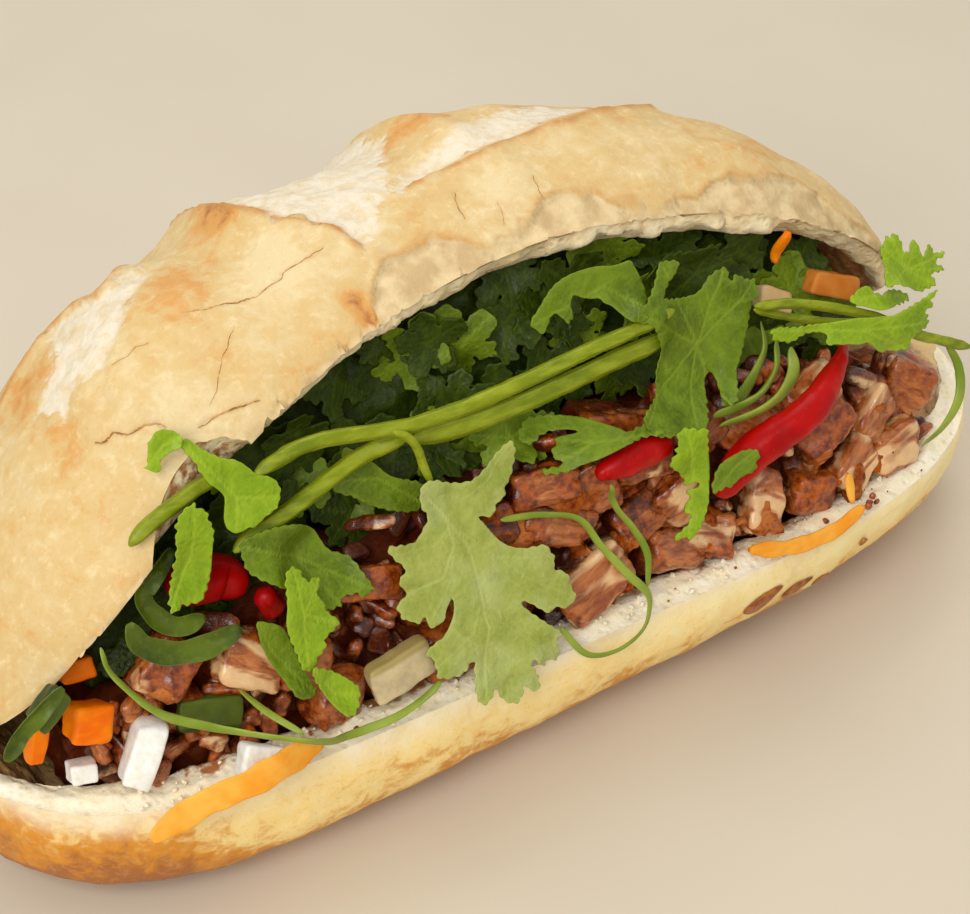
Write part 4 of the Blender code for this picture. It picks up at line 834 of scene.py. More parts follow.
TUBES = {
    "stem_upper": (
        "stem", 3, 2.7,
        (
            (-51.5, 52.8), (-48.9, 53.4), (-41.6, 54.5), (-32.7, 53.2), (-23.7, 51.5), (-14.1, 51.1), (-0.0, 51.8),
            (14.6, 53.1), (25.2, 53.8), (31.0, 54.4),
        ),
    ),
    "stem_middle": (
        "stem", 2, 3.4,
        (
            (-21.9, 47.9), (-14.7, 47.2), (-4.8, 46.9), (7.5, 47.6), (20.3, 48.6), (26.7, 48.9), (31.5, 49.2),
        ),
    ),
    "stem_lower": (
        "stem", 1, 3.0,
        ((-57.0, 40.3), (-55.3, 41.0), (-46.0, 43.5), (-37.7, 46.2), (-29.1, 48.5), (-23.2, 49.0)),
    ),
    "stem_left": (
        "stem", 1, 2.6,
        ((-74.6, 48.9), (-70.1, 51.2), (-65.1, 52.7), (-59.9, 53.7), (-56.0, 54.0)),
    ),
    "petiole": (
        "stem", 5, 1.5,
        ((-27.4, 52.1), (-25.2, 50.6), (-23.3, 47.1), (-22.4, 43.2), (-21.7, 40.4)),
    ),
    "stem_right_upper": (
        "stem", 4, 1.9,
        (
            (47.3, 49.9), (55.1, 47.9), (65.8, 43.4), (73.0, 39.5), (81.1, 33.6), (87.3, 30.2),
            (93.2, 27.0),
        ),
    ),
    "stem_right_lower": (
        "stem", 3, 1.5,
        ((48.2, 48.8), (53.5, 46.0), (63.0, 41.8), (70.9, 39.1), (77.2, 37.8)),
    ),
    "onion_ring_left": (
        "onion", 2, 1.7,
        (
            (-83.1, 34.0), (-83.0, 30.7), (-80.8, 25.5), (-76.9, 19.7), (-69.6, 14.3), (-58.5, 9.1),
            (-47.7, 3.6), (-38.0, 3.1), (-32.0, 4.8), (-28.9, 6.7),
        ),
    ),
    "onion_branch": (
        "onion", 2, 1.5,
        ((-62.9, 18.1), (-59.7, 13.0), (-55.7, 8.2)),
    ),
    "onion_ring_middle": (
        "onion", 2, 1.7,
        (
            (-9.9, 29.0), (-1.3, 26.8), (5.1, 23.5), (7.8, 17.7), (11.8, 10.3), (14.6, 4.4),
            (12.9, 0.1), (7.3, -2.2), (0.8, -1.0), (-3.7, 6.1),
        ),
    ),
    "onion_branch_middle": (
        "onion", 2, 1.5,
        ((9.2, 29.7), (11.9, 24.0), (15.2, 18.0), (16.8, 12.4), (15.3, 6.3)),
    ),
    "onion_ring_right": (
        "onion", 2, 2.0,
        ((89.6, 29.0), (91.4, 23.1), (90.1, 17.4), (85.2, 13.2), (79.2, 11.2)),
    ),
    "onion_curl_outer": (
        "onion", -1, 2.2,
        ((54.3, 39.7), (53.7, 35.3), (49.6, 32.4), (43.7, 31.3), (35.1, 31.2)),
    ),
    "onion_curl_middle": (
        "onion", -2, 2.2,
        ((53.5, 41.1), (52.2, 36.5), (48.4, 33.9), (42.7, 32.7), (35.9, 32.3)),
    ),
    "onion_curl_inner": (
        "onion", -3, 2.2,
        ((52.9, 44.5), (52.3, 39.2), (48.7, 35.8), (44.2, 33.8), (39.1, 33.2)),
    ),
}
STRIPS = {
    "onion_wide_left": (
        "onion", 0, 4.0, 0.8,
        ((-77.8, 36.3), (-76.9, 32.2), (-73.2, 28.9), (-67.4, 27.4), (-59.9, 28.2)),
    ),
    "onion_dark_left": (
        "onion", -2, 3.5, 0.8,
        ((-66.4, 44.1), (-71.1, 42.0), (-74.0, 39.5), (-73.3, 35.8), (-70.5, 32.3), (-64.5, 31.4)),
    ),
    "onion_far_left": (
        "onion", -2, 3.0, 0.9,
        ((-90.9, 30.4), (-94.9, 28.4), (-98.9, 25.0), (-102.2, 21.1)),
    ),
    "carrot_over_rim": (
        "carrot", 2, 5.0, 1.2,
        ((-52.3, 4.4), (-62.4, 5.0), (-73.0, 3.1), (-84.5, 0.3)),
    ),
    "carrot_right": (
        "carrot", 2, 3.0, 1.6,
        ((37.5, 5.5), (48.3, 2.5), (56.5, 2.5), (63.4, 4.9)),
    ),
    "carrot_thin_right": (
        "carrot", 1, 1.8, 1.4,
        ((62.5, 11.6), (62.5, 8.6), (62.3, 5.6)),
    ),
    "carrot_under_lid": (
        "carrot", -6, 2.8, 2.2,
        ((61.1, 59.3), (60.1, 53.4)),
    ),
}


# Leaf outlines, traced in zoomed views of the photograph

# Each view: its pixels to one of the photograph's, and the photograph's pixel at its top left
VIEWS = {
    "front": (5.0565, 370, 420),
    "middle": (4.68, 530, 225),
    "left": (5.058, 130, 415),
    "right": (6.817, 740, 215),
}
LEAF_OUTLINES = {
    "coriander_front": ("front", """
        255,330 320,300 400,320 470,320 530,295 590,240 650,165 690,120 715,100 738,130 742,180 730,240
        710,300 680,345 690,380 670,400 640,425 635,460 610,490 590,492 555,480 543,490 580,530 620,575
        660,615 720,645 790,650 850,635 895,628 905,650 930,680 940,720 925,750 960,760 995,770 1005,800
        1010,840 1035,880 1040,905 1015,925 1000,950 975,950 935,945 925,975 900,978 860,955 820,930
        775,915 765,925 790,955 840,990 900,1030 950,1060 980,1075 965,1095 940,1100 960,1150 960,1190
        945,1220 915,1215 890,1200 885,1245 865,1245 840,1215 805,1210 820,1250 850,1290 860,1330
        850,1370 820,1370 795,1355 775,1330 775,1380 755,1430 720,1440 680,1420 655,1390 635,1345
        625,1390 600,1430 575,1447 550,1425 535,1380 530,1330 530,1280 532,1210 500,1235 480,1280
        440,1300 400,1310 350,1310 330,1290 345,1265 320,1240 330,1210 270,1190 290,1165 320,1130
        370,1095 400,1040 420,980 425,920 415,895 395,930 375,970 375,1010 345,1030 310,1055 290,1040
        280,990 265,1000 240,1040 225,1020 180,1015 155,1000 150,970 130,950 150,920 185,890 190,870
        150,845 140,800 170,780 180,750 130,710 100,680 92,640 120,640 160,635 220,630 250,610 275,560
        300,510 295,480 270,460 255,420
    """),
    "coriander_centre": ("middle", """
        545,375 575,320 598,250 612,172 655,168 705,165 690,215 655,265 635,320 632,350 700,345 780,328
        818,290 835,250 870,215 915,190 928,235 935,275 955,225 990,245 1020,255 1062,250 1060,285
        1078,305 1070,350 1035,358 1022,430 1003,520 985,600 968,670 972,760 957,848 925,845 895,800
        880,740 862,700 845,680 822,715 825,780 832,860 832,940 800,985 745,960 700,985 640,1000 600,990
        560,962 530,915 552,868 598,815 604,780 588,700 595,650 613,600 613,540 598,490 565,465 505,462
        500,420
    """),
    "coriander_arm": ("middle", """
        555,372 545,310 520,250 490,205 468,158 430,178 380,192 320,190 250,208 190,232 140,262 95,300
        62,350 42,400 12,440 8,480 38,488 65,522 85,482 105,432 120,410 150,432 182,470 186,442 207,440
        192,400 195,352 207,325 250,342 290,347 330,340 345,366 382,376 412,402 450,436 500,462 548,445
    """),
    "coriander_hanging_centre": ("middle", """
        700,962 745,948 800,962 832,940 838,1050 843,1150 837,1250 832,1340 805,1405 762,1465 735,1500
        745,1450 700,1480 672,1470 700,1440 740,1405 765,1360 740,1352 726,1335 745,1300 765,1268
        735,1260 745,1235 790,1235 800,1200 765,1208 735,1225 715,1215 730,1190 705,1180 700,1155
        675,1150 655,1130 660,1095 692,1070 672,1045 702,1030 680,1000 690,980
    """),
    "coriander_behind_right": ("middle", """
        640,985 560,990 500,1010 440,1040 380,1070 300,1105 230,1130 190,1155 120,1165 50,1168 60,1140
        120,1135 175,1118 112,1092 100,1052 135,1022 108,1002 160,985 240,970 200,955 100,962 50,985
        20,1020 -20,1030 -60,1000 -40,940 0,900 80,888 160,890 260,900 340,928 420,950 462,975 520,945
        560,925 610,940
    """),
    "coriander_on_chilli": ("middle", """
        855,1200 870,1150 900,1110 950,1080 1000,1052 1060,1050 1082,1070 1058,1110 1062,1150 1010,1168
        972,1190 942,1230 915,1228 880,1258 850,1250
    """),
    "coriander_over_lid": ("left", """
        252,135 300,118 345,160 400,190 470,222 540,225 598,265 635,300 700,308 742,330 770,372 766,432
        742,480 690,512 655,548 628,575 605,565 560,602 520,598 492,575 478,535 478,490 482,440 478,405
        442,372 405,352 385,318 352,290 342,250 300,208 268,180
    """),
    "coriander_curl_over_lid": ("left", """
        262,100 210,75 150,72 120,95 105,130 85,145 95,180 88,220 98,260 62,272 110,285 150,298 165,270
        150,240 175,210 220,180 258,168 272,130
    """),
    "coriander_hanging_left": ("left", """
        265,490 300,470 330,440 350,480 395,480 402,540 425,565 420,640 415,700 412,770 400,840 385,900
        360,955 322,952 300,968 270,958 250,985 225,1005 198,1000 215,972 182,948 220,930 195,905 220,880
        195,850 225,838 205,810 230,790 208,760 240,740 225,700 245,680 225,640 240,600 230,560 250,530
    """),
    "coriander_bright_left": ("left", """
        780,830 790,790 815,765 850,775 870,800 885,838 910,842 930,815 965,825 960,865 940,900 985,950
        1000,1000 1050,1028 1072,1050 1040,1085 1010,1108 985,1125 992,1180 960,1210 940,1260 930,1290
        900,1300 870,1290 855,1240 835,1190 810,1130 790,1060 800,980 790,900
    """),
    "coriander_fold_left": ("left", """
        635,1040 690,1050 750,1060 790,1090 820,1160 850,1230 870,1290 900,1310 920,1350 950,1400
        930,1425 880,1440 840,1430 805,1380 770,1330 720,1270 680,1200 655,1130
    """),
    "coriander_bright_low": ("left", """
        915,1285 960,1280 1010,1290 1060,1310 1110,1340 1170,1380 1165,1440 1150,1500 1120,1530 1085,1520
        1050,1490 1010,1450 975,1400 940,1350
    """),
    "coriander_broad_left": ("left", """
        560,650 620,610 700,580 780,560 860,550 930,570 960,620 1000,680 1060,700 1110,708 1150,750
        1180,800 1220,850 1242,892 1200,900 1190,935 1150,900 1110,915 1070,920 1078,970 1040,975
        1000,992 960,960 900,940 850,900 780,880 700,850 650,830 590,790 570,720
    """),
    "coriander_behind_left": ("left", """
        1045,300 1100,240 1160,250 1200,220 1250,255 1300,300 1350,320 1420,330 1480,340 1502,400
        1495,460 1440,490 1370,490 1290,480 1200,450 1120,410 1050,400 1010,350
    """),
    "coriander_sprig_tip": ("right", """
        965,240 985,200 1005,235 998,180 1005,150 1020,140 1040,165 1055,120 1080,130 1087,170 1100,165
        1108,200 1115,250 1122,270 1135,240 1150,260 1163,250 1165,200 1185,165 1215,185 1225,220
        1240,270 1255,290 1275,260 1285,215 1305,195 1320,225 1330,255 1350,265 1390,245 1405,262
        1385,290 1350,305 1345,330 1370,345 1410,358 1400,380 1350,390 1300,400 1320,425 1345,450
        1340,480 1310,495 1280,500 1250,520 1220,525 1180,505 1150,490 1120,492 1090,470 1060,482
        1030,500 1010,500 1000,460 985,400 1000,360 975,320 985,280
    """),
    "coriander_sprig_low": ("right", """
        740,560 780,545 800,510 840,490 870,480 900,500 925,550 940,520 980,560 1000,520 1040,505
        1100,515 1150,545 1160,570 1140,590 1080,610 1020,640 960,655 900,640 850,625 800,620 770,600
    """),
    "coriander_sprig_blade": ("right", """
        190,800 230,790 250,770 300,765 350,770 420,765 500,745 600,740 700,720 800,700 900,700 980,690
        1050,690 1100,665 1180,620 1260,570 1330,515 1355,505 1320,560 1290,590 1325,605 1300,635
        1252,655 1290,680 1285,712 1302,728 1290,760 1250,790 1180,830 1160,880 1150,930 1100,918
        1060,932 1020,918 980,942 940,925 900,885 870,865 830,882 790,885 740,878 700,888 650,878 620,898
        590,870 612,840 600,810 540,800 470,810 420,830 380,860 340,877 290,860 240,858 225,840 240,815
    """),
}

# The front leaf's veins, traced in the same way
FRONT_VEINS = """
    300,400 390,500 500,640 560,820 600,1050 590,1400
    390,500 430,640 380,800 200,880
    400,540 340,640 130,690
    460,560 640,690 800,800 1000,880
    640,690 760,700 900,690
    590,980 760,1080 930,1180
    600,1100 700,1250 740,1400
    575,900 520,1080 320,1270
    430,640 420,800 310,1010
    340,380 480,400 600,300 710,130
    700,800 820,880 920,950
    650,1150 760,1250 830,1340
    300,400 360,470 390,500
"""


# Heights and thin flat shapes


class Surface:
    """A CAD node in the mouth frame, read for the height of its top and its underside."""

    def __init__(self, name):
        self.points, faces = node_arrays(name)
        self.tree = BVHTree.FromPolygons([Vector(p) for p in self.points], faces)

    def hit(self, x, w, start):
        spot = self.tree.ray_cast(Vector((x, w, start)), Vector((0, 0, -start)))[0]
        return None if spot is None else spot.z

    def middle(self, line):
        """The height of the middle of a strand along a line, smoothed."""
        heights = []
        for x, w in line:
            top, under = self.hit(x, w, 150.0), self.hit(x, w, -150.0)
            heights.append(np.nan if top is None else (top + under) / 2)
        heights = np.array(heights)
        known = ~np.isnan(heights)
        steps = np.arange(len(heights))
        heights = np.interp(steps, steps[known], heights[known])
        for _ in range(3):
            padded = np.pad(heights, 1, mode="edge")
            heights = (padded[:-2] + 2 * padded[1:-1] + padded[2:]) / 4
        return heights

    def skin(self):
        """The mean height of the top, and a smooth function for it at any x and w."""
        best = {}
        for x, w, n in self.points:
            key = (round(x, 1), round(w, 1))
            best[key] = max(best.get(key, -1e9), n)
        flat = np.array(list(best))
        high = np.array(list(best.values()))
        count = len(flat)
        system = np.zeros((count + 3, count + 3))
        system[:count, :count] = np.linalg.norm(flat[:, None] - flat[None], axis=-1) - 2 * np.eye(count)
        system[:count, count:] = np.column_stack((np.ones(count), flat))
        system[count:, :count] = system[:count, count:].T
        weights = np.linalg.solve(system, np.concatenate((high, np.zeros(3))))

        def height(spots):
            away = np.linalg.norm(spots[:, None] - flat[None], axis=-1)
            return away @ weights[:count] + np.column_stack((np.ones(len(spots)), spots)) @ weights[count:]

        return high.mean(), height


def edge_distance(spots, outline):
    nearest = np.full(len(spots), 1e9)
    for start, end in zip(outline, np.roll(outline, -1, axis=0)):
        run = end - start
        share = np.clip((spots - start) @ run / max(run @ run, 1e-9), 0, 1)
        nearest = np.minimum(nearest, ((spots - start - share[:, None] * run) ** 2).sum(1))
    return np.sqrt(nearest)


def fill_outline(outline, step):
    """A flat mesh of the inside of an outline: its points and faces."""
    low, high = outline.min(0) - step, outline.max(0) + step
    columns, rows = np.ceil((high - low) / step).astype(int) + 1
    x, w = np.meshgrid(low[0] + step * np.arange(columns), low[1] + step * np.arange(rows), indexing="ij")
    spots = np.column_stack((x.ravel(), w.ravel()))
    depth = edge_distance(spots, outline) * np.where(inside(spots[:, 0], spots[:, 1], outline), 1, -1)
    depth = depth.reshape(x.shape)
    known = {}
    points = []

    def corner(i, j):
        if (i, j) not in known:
            known[(i, j)] = len(points)
            points.append((x[i, j], w[i, j]))
        return known[(i, j)]

    def crossing(a, b):
        key = (min(a, b), max(a, b))
        if key not in known:
            known[key] = len(points)
            share = depth[a] / (depth[a] - depth[b])
            points.append((x[a] + (x[b] - x[a]) * share, w[a] + (w[b] - w[a]) * share))
        return known[key]

    faces = []
    for i, j in np.argwhere(
        np.maximum.reduce([depth[:-1, :-1], depth[1:, :-1], depth[1:, 1:], depth[:-1, 1:]]) > 0
    ).tolist():
        ring = [(i, j), (i + 1, j), (i + 1, j + 1), (i, j + 1)]
        face = []
        for a, b in zip(ring, ring[1:] + ring[:1]):
            if depth[a] > 0:
                face.append(corner(*a))
            if (depth[a] > 0) != (depth[b] > 0):
                face.append(crossing(a, b))
        if len(face) > 2:
            faces.append(face)
    return np.array(points), faces


def thicken(points, faces, thick):
    """A thin solid from a sheet: its top points and faces, the same again below, and the rim."""
    count = len(points)
    solid = [list(f) for f in faces] + [[v + count for v in reversed(f)] for f in faces]
    edges = {}
    for face in faces:
        for a, b in zip(face, face[1:] + face[:1]):
            edges[(a, b)] = True
    for a, b in edges:
        if (b, a) not in edges:
            solid.append([b, a, a + count, b + count])
    return np.vstack((points, points - (0, 0, thick))), solid


def rounded(outline, times=2):
    """An outline with its corners cut, which rounds it."""
    for _ in range(times):
        after = np.roll(outline, -1, axis=0)
        outline = np.stack((outline * 0.75 + after * 0.25, outline * 0.25 + after * 0.75), 1).reshape(-1, 2)
    return outline


def even_steps(line, step, closed=False):
    if closed:
        line = np.vstack((line, line[:1]))
    along = np.concatenate(([0], np.cumsum(np.linalg.norm(np.diff(line, axis=0), axis=1))))
    count = max(3, int(along[-1] / step))
    shares = np.linspace(0, along[-1], count + 1)
    if closed:
        shares = shares[:-1]
    return np.column_stack([np.interp(shares, along, line[:, axis]) for axis in range(line.shape[1])]), shares


# Coriander leaves


def leaf_outline(centre, lobes):
    """The outline round the lobes of a leaf, as in the part."""
    tips = [(math.atan2(w - centre[1], x - centre[0]), math.dist((x, w), centre), width, notch) for x, w, width, notch in lobes]
    outline = []
    for i, (angle, reach, width, notch) in enumerate(tips):
        before, after = tips[i - 1], tips[(i + 1) % len(tips)]
        turn = math.remainder(after[0] - angle, 2 * math.pi)
        turn_back = math.remainder(before[0] - angle, 2 * math.pi)
        wide = math.atan2(width / 2, 0.8 * reach)
        for share, tooth, depth in ((-1, 0.8, 1.0), (-0.5, 0.9, 0.5), (0, 1.0, 0), (0.5, 0.9, 0.5), (1, 0.8, 1.0)):
            room = turn if share > 0 else turn_back
            offset = math.copysign(min(wide, abs(room) * 0.38), room) * depth
            if width < 3.5 and abs(share) == 0.5:
                continue
            outline.append((angle + offset, reach * tooth))
        outline.append((angle + turn / 2, 0.86 * notch * (reach + after[1]) / 2))
    return np.array([(centre[0] + r * math.cos(a), centre[1] + r * math.sin(a)) for a, r in outline])


def toothed(outline, centre, deep, period, seed):
    """An outline with small round teeth, larger towards the ends of the lobes."""
    outline, along = even_steps(rounded(outline, 1), 0.24, closed=True)
    ahead = np.roll(outline, -2, axis=0) - np.roll(outline, 2, axis=0)
    ahead = ahead / np.maximum(np.linalg.norm(ahead, axis=1, keepdims=True), 1e-9)
    sign = 1 if inside(*(outline[:1] + 0.2 * np.stack((-ahead[:1, 1], ahead[:1, 0]), 1)).T, outline)[0] else -1
    outward = np.stack((ahead[:, 1], -ahead[:, 0]), 1) * sign
    reach = np.linalg.norm(outline - centre, axis=1)
    far = smooth((reach / reach.max() - 0.30) / 0.35)
    wander = value_noise(np.column_stack((outline, np.full(len(outline), seed))), 5.0, seed)
    total = along[-1]
    turns = max(3, round(total / period))
    phase = (along / total * turns + 0.25 * wander) % 1
    tooth = 1 - np.abs(2 * phase - 1) ** 1.4
    return outline + outward * ((tooth - 0.62) * deep * far * (0.8 + 0.4 * wander))[:, None]


def leaf_veins(centre, lobes):
    """Main veins to each lobe's tip, with side veins branching off them."""
    veins = []
    centre = np.array(centre)
    for x, w, width, _ in lobes:
        tip = centre + (np.array((x, w)) - centre) * 0.95
        veins.append((1.0, np.array((centre, tip))))
        run = tip - centre
        for share in (0.3, 0.5, 0.68, 0.84):
            for turn in (0.62, -0.62):
                cos, sin = math.cos(turn), math.sin(turn)
                branch = np.array((run[0] * cos - run[1] * sin, run[0] * sin + run[1] * cos))
                start = centre + run * share
                veins.append((0.55, np.array((start, start + branch * (0.36 - 0.2 * share)))))
    return veins


def leaf_tips(outline, centre):
    """The ends of the lobes: where the outline is farther from the centre than nearby."""
    reach = np.linalg.norm(outline - np.array(centre), axis=1)
    nearby = np.max([np.roll(reach, k) for k in range(-11, 12)], axis=0)
    return [(*outline[i], 0, 0) for i in np.flatnonzero((reach == nearby) & (reach > 0.4 * reach.max()))]


def traced(view, text, middle, height):
    """Places traced in a view of the photograph, brought along the camera's rays to a leaf's top."""
    scale, left, top = VIEWS[view]
    spots = np.array([pair.split(",") for pair in text.split()], float) / scale + (left, top)
    turn, rise = math.radians(AZIMUTH), math.radians(ELEVATION)
    back = np.array((math.sin(turn) * math.cos(rise), -math.cos(turn) * math.cos(rise), math.sin(rise)))
    right = np.array((math.cos(turn), math.sin(turn), 0.0))
    aside, below = (spots - np.array(PHOTO_SIZE) / 2).T * SENSOR_WIDTH / LENS / PHOTO_SIZE[0]
    rays = to_mouth(aside[:, None] * right - below[:, None] * np.cross(back, right) - back + MOUTH_ORIGIN)
    eye = to_mouth(TARGET + back * DISTANCE)
    level = np.full(len(spots), middle)
    for _ in range(25):
        flat = eye[:2] + rays[:, :2] * ((level - eye[2]) / rays[:, 2])[:, None]
        level = 0.6 * level + 0.4 * np.clip(height(flat), middle - 6, middle + 6)
    return flat


def build_leaf(name, outline, veins, centre, finish, nodes, height, curl=0.65, step=0.42, seed=1):
    flat, faces = fill_outline(outline, step)
    margin = edge_distance(flat, outline)
    vein = np.zeros(len(flat))
    groove = np.zeros(len(flat))
    for strength, line in veins:
        away = line_distance(np.column_stack((flat, np.zeros(len(flat)))), np.column_stack((line, np.zeros(len(line)))))
        vein = np.maximum(vein, strength * np.exp(-((away / 0.30) ** 2)))
        groove = np.maximum(groove, strength * np.exp(-((away / 0.9) ** 2)))
    spread_out = np.column_stack((flat, np.full(len(flat), float(seed))))
    reach = np.linalg.norm(flat - centre, axis=1)
    lift = height(flat) + curl * (0.9 * value_noise(spread_out, 6.5, seed) + 0.5 * value_noise(spread_out, 3.0, seed + 3)) * smooth(reach / 9)
    lift = lift - 0.28 * groove + 0.10
    lift = lift - 0.15 * np.exp(-margin / 0.7) * smooth(reach / 8)
    points, solid = thicken(np.column_stack((flat, lift)), faces, 0.26)
    fields = {
        "vein": np.tile(vein, 2),
        "margin": np.tile(np.exp(-margin / 0.45), 2),
        "centre": np.tile(np.exp(-reach / 5.0), 2),
        "under": np.repeat((0.0, 1.0), len(flat)),
    }
    return add_piece(name, from_mouth(points), solid, finish, nodes, fields)


def leaf_finish(name, main, second, vein, under, roughness=0.42, glare=0.0):
    """A leaf with pale veins, uneven green, light coming through it and, where asked, painted glare."""
    f = Finish(name, roughness, Specular_IOR_Level=0.22, Subsurface_Weight=0.10, Subsurface_Scale=0.001)
    f.shader.inputs["Subsurface Radius"].default_value = (0.6, 1.0, 0.2)
    f.shader.inputs["Transmission Weight"].default_value = 0.0
    cloud = f.noise(7, 3, 0.55)
    fine = f.noise(0.55, 3, 0.6)
    colour = f.mix(f.span(cloud, 0.32, 0.68), main, second)
    patchy = f.noise(2.4, 4, 0.6, 0.3)
    # Mottled lighter and darker patches on the same noise as the bump: partly the leaf's own mottling, partly painted
    # light and shade on the relief.
    colour = f.mix(f.span(patchy, 0.45, 0.72, 0.0, 0.4), colour, vein)
    colour = f.mix(f.span(patchy, 0.48, 0.3, 0.0, 0.35), colour, tuple(c * 0.55 for c in main))
    colour = f.mix(f.span(fine, 0.35, 0.75, 0.0, 0.22), colour, vein)
    colour = f.mix(f.maths("MULTIPLY", f.field("centre"), 0.4), colour, vein)
    colour = f.mix(f.span(f.field("vein"), 0.15, 0.9, 0.0, 0.62), colour, vein)
    colour = f.mix(f.maths("MULTIPLY", f.field("margin"), 0.45), colour, vein)
    # Painted highlight: pale blotches of glare over the leaf.
    if glare:
        colour = f.mix(f.span(f.noise(9, 2, 0.5), 0.48, 0.72, 0.0, glare), colour, srgb(214, 226, 186))
    colour = f.mix(f.maths("MULTIPLY", f.field("under"), 0.6), colour, under)
    relief = f.bump(f.cells(1.1), 0.18, 0.55)
    relief = f.bump(patchy, 0.7, 0.6, relief)
    relief = f.bump(f.field("vein"), 0.25, 0.5, relief)
    rough = f.span(cloud, 0.3, 0.7, roughness - 0.08, roughness + 0.1)
    return f.drive(Base_Color=colour, Roughness=rough, Normal=relief)


LEAF_FINISHES = {
    "pale": leaf_finish("leaf_pale", srgb(140, 152, 58), srgb(156, 164, 74), srgb(178, 186, 104), srgb(130, 142, 70), 0.5, 0.14),
    "bright": leaf_finish("leaf_bright", srgb(104, 138, 4), srgb(126, 158, 10), srgb(158, 184, 44), srgb(126, 152, 40)),
    "middle": leaf_finish("leaf_middle", srgb(70, 90, 4), srgb(98, 122, 8), srgb(128, 150, 36), srgb(100, 122, 36)),
    # Painted shade: the deep finish's near-black green stands for leaves down in the heap, in the lid's shadow.
    "deep": leaf_finish("leaf_painted_shade", srgb(27, 38, 1), srgb(42, 57, 2), srgb(72, 92, 14), srgb(48, 66, 12)),
}
PIECE_FINISHES = {}
LEAF_KINDS = {
    "coriander_front": "pale",
    "coriander_bright_left": "bright",
    "coriander_bright_low": "bright",
    "coriander_over_lid": "bright",
    "coriander_curl_over_lid": "bright",
    "coriander_hanging_left": "bright",
    "coriander_sprig_tip": "bright",
    "coriander_sprig_low": "bright",
    "coriander_sprig_blade": "bright",
    "coriander_hanging_centre": "bright",
    # The curled leaf under the lid's edge takes the deep finish: painted shade.
    "coriander_curled": "deep",
}


# How deep and how far apart the teeth are where they differ from most leaves
TOOTH_SIZES = {
    "coriander_front": (0.5, 1.9),
    "coriander_curl_over_lid": (0.25, 1.7),
    "coriander_fold_left": (0.25, 1.7),
    "coriander_arm": (0.25, 1.7),
}


def build_leaves():
    for seed, (name, (centre, lobes)) in enumerate(LEAVES.items()):
        finish = LEAF_FINISHES[LEAF_KINDS.get(name, "middle")]
        centre = np.array(centre)
        middle, height = Surface(name).skin()
        if name in LEAF_OUTLINES:
            outline = traced(*LEAF_OUTLINES[name], middle, height)
            deep, period = TOOTH_SIZES.get(name, (0.6, 1.7))
            outline = toothed(outline, centre, deep, period, seed)
            veins = leaf_veins(centre, leaf_tips(outline, centre))
        else:
            outline = toothed(leaf_outline(centre, lobes), centre, 1.2, 2.1, seed)
            veins = leaf_veins(centre, lobes)
        if name == "coriander_front":
            lines = [traced("front", line, middle, height) for line in FRONT_VEINS.strip().splitlines()]
            veins = [(1.0 if i < 2 else 0.6, even_steps(line, 1.0)[0]) for i, line in enumerate(lines)]
        build_leaf(name + "_leaf", outline, veins, centre, finish, [name], height, seed=seed)


# Strands: stems, onion, chilli and carrot


def sweep(spine, section, name, finish, nodes, fields=None, turn=None, rough=0.0, seed=0):
    """A closed skin over sections, given as (across, up) for each point of the spine."""
    count, sides = section.shape[:2]
    ahead = np.gradient(spine, axis=0)
    ahead /= np.maximum(np.linalg.norm(ahead, axis=1, keepdims=True), 1e-9)
    across = np.cross(ahead, (0.0, 0.0, 1.0))
    across /= np.maximum(np.linalg.norm(across, axis=1, keepdims=True), 1e-9)
    up = np.cross(across, ahead)
    if turn is not None:
        cos, sin = np.cos(turn)[:, None], np.sin(turn)[:, None]
        across, up = across * cos + up * sin, up * cos - across * sin
    points = spine[:, None] + across[:, None] * section[..., :1] + up[:, None] * section[..., 1:]
    if rough:
        outward = points - spine[:, None]
        outward /= np.maximum(np.linalg.norm(outward, axis=-1, keepdims=True), 1e-9)
        points = points + outward * (rough * fractal(points, 2.5, 3, seed))[..., None]
    faces = [list(f) for f in grid_faces(count, sides, close=True)]
    faces += [list(range(sides))[::-1], list(range((count - 1) * sides, count * sides))]
    fields = dict(fields or {})
    fields["along"] = np.repeat(np.linspace(0, 1, count), sides)
    fields["round"] = np.tile(np.linspace(0, 1, sides, endpoint=False), count)
    return add_piece(name, from_mouth(points.reshape(-1, 3)), faces, finish, nodes, fields)


def strand_line(name, line, step):
    """A smooth line through a strand's points, at the height of its CAD node."""
    line = np.array(line, float)
    along = np.concatenate(([0], np.cumsum(np.linalg.norm(np.diff(line, axis=0), axis=1))))
    shares = np.linspace(0, along[-1], max(8, int(along[-1] / step)))
    flat = np.column_stack([spline(along, line[:, axis], shares) for axis in (0, 1)])
    return np.column_stack((flat, Surface(name).middle(flat))), shares, along


def build_tube(name, line, radii, finish, flat=1.0, sides=18, ribs=0.0, rough=0.0, blunt=0.6, twist=0.0, seed=0):
    """A round or flattened strand with rounded ends."""
    spine, shares, along = strand_line(name, line, 0.6)
    sizes = np.maximum(spline(along, radii, shares), 0.25)
    end = np.minimum(shares, shares[-1] - shares) / np.maximum(sizes * blunt, 1e-3)
    sizes = sizes * np.sqrt(np.clip(1 - (1 - np.clip(end, 0.02, 1)) ** 2, 0, 1))
    angles = np.linspace(0, 2 * math.pi, sides, endpoint=False)
    ribbed = 1 + ribs * np.cos(angles * 5)
    section = np.stack(
        (sizes[:, None] * np.cos(angles) * ribbed, sizes[:, None] * np.sin(angles) * ribbed * flat), -1
    )
    turn = twist * np.sin(shares / 9.0 + seed) if twist else None
    return sweep(spine, section, name + "_strand", finish, [name], turn=turn, rough=rough, seed=seed)


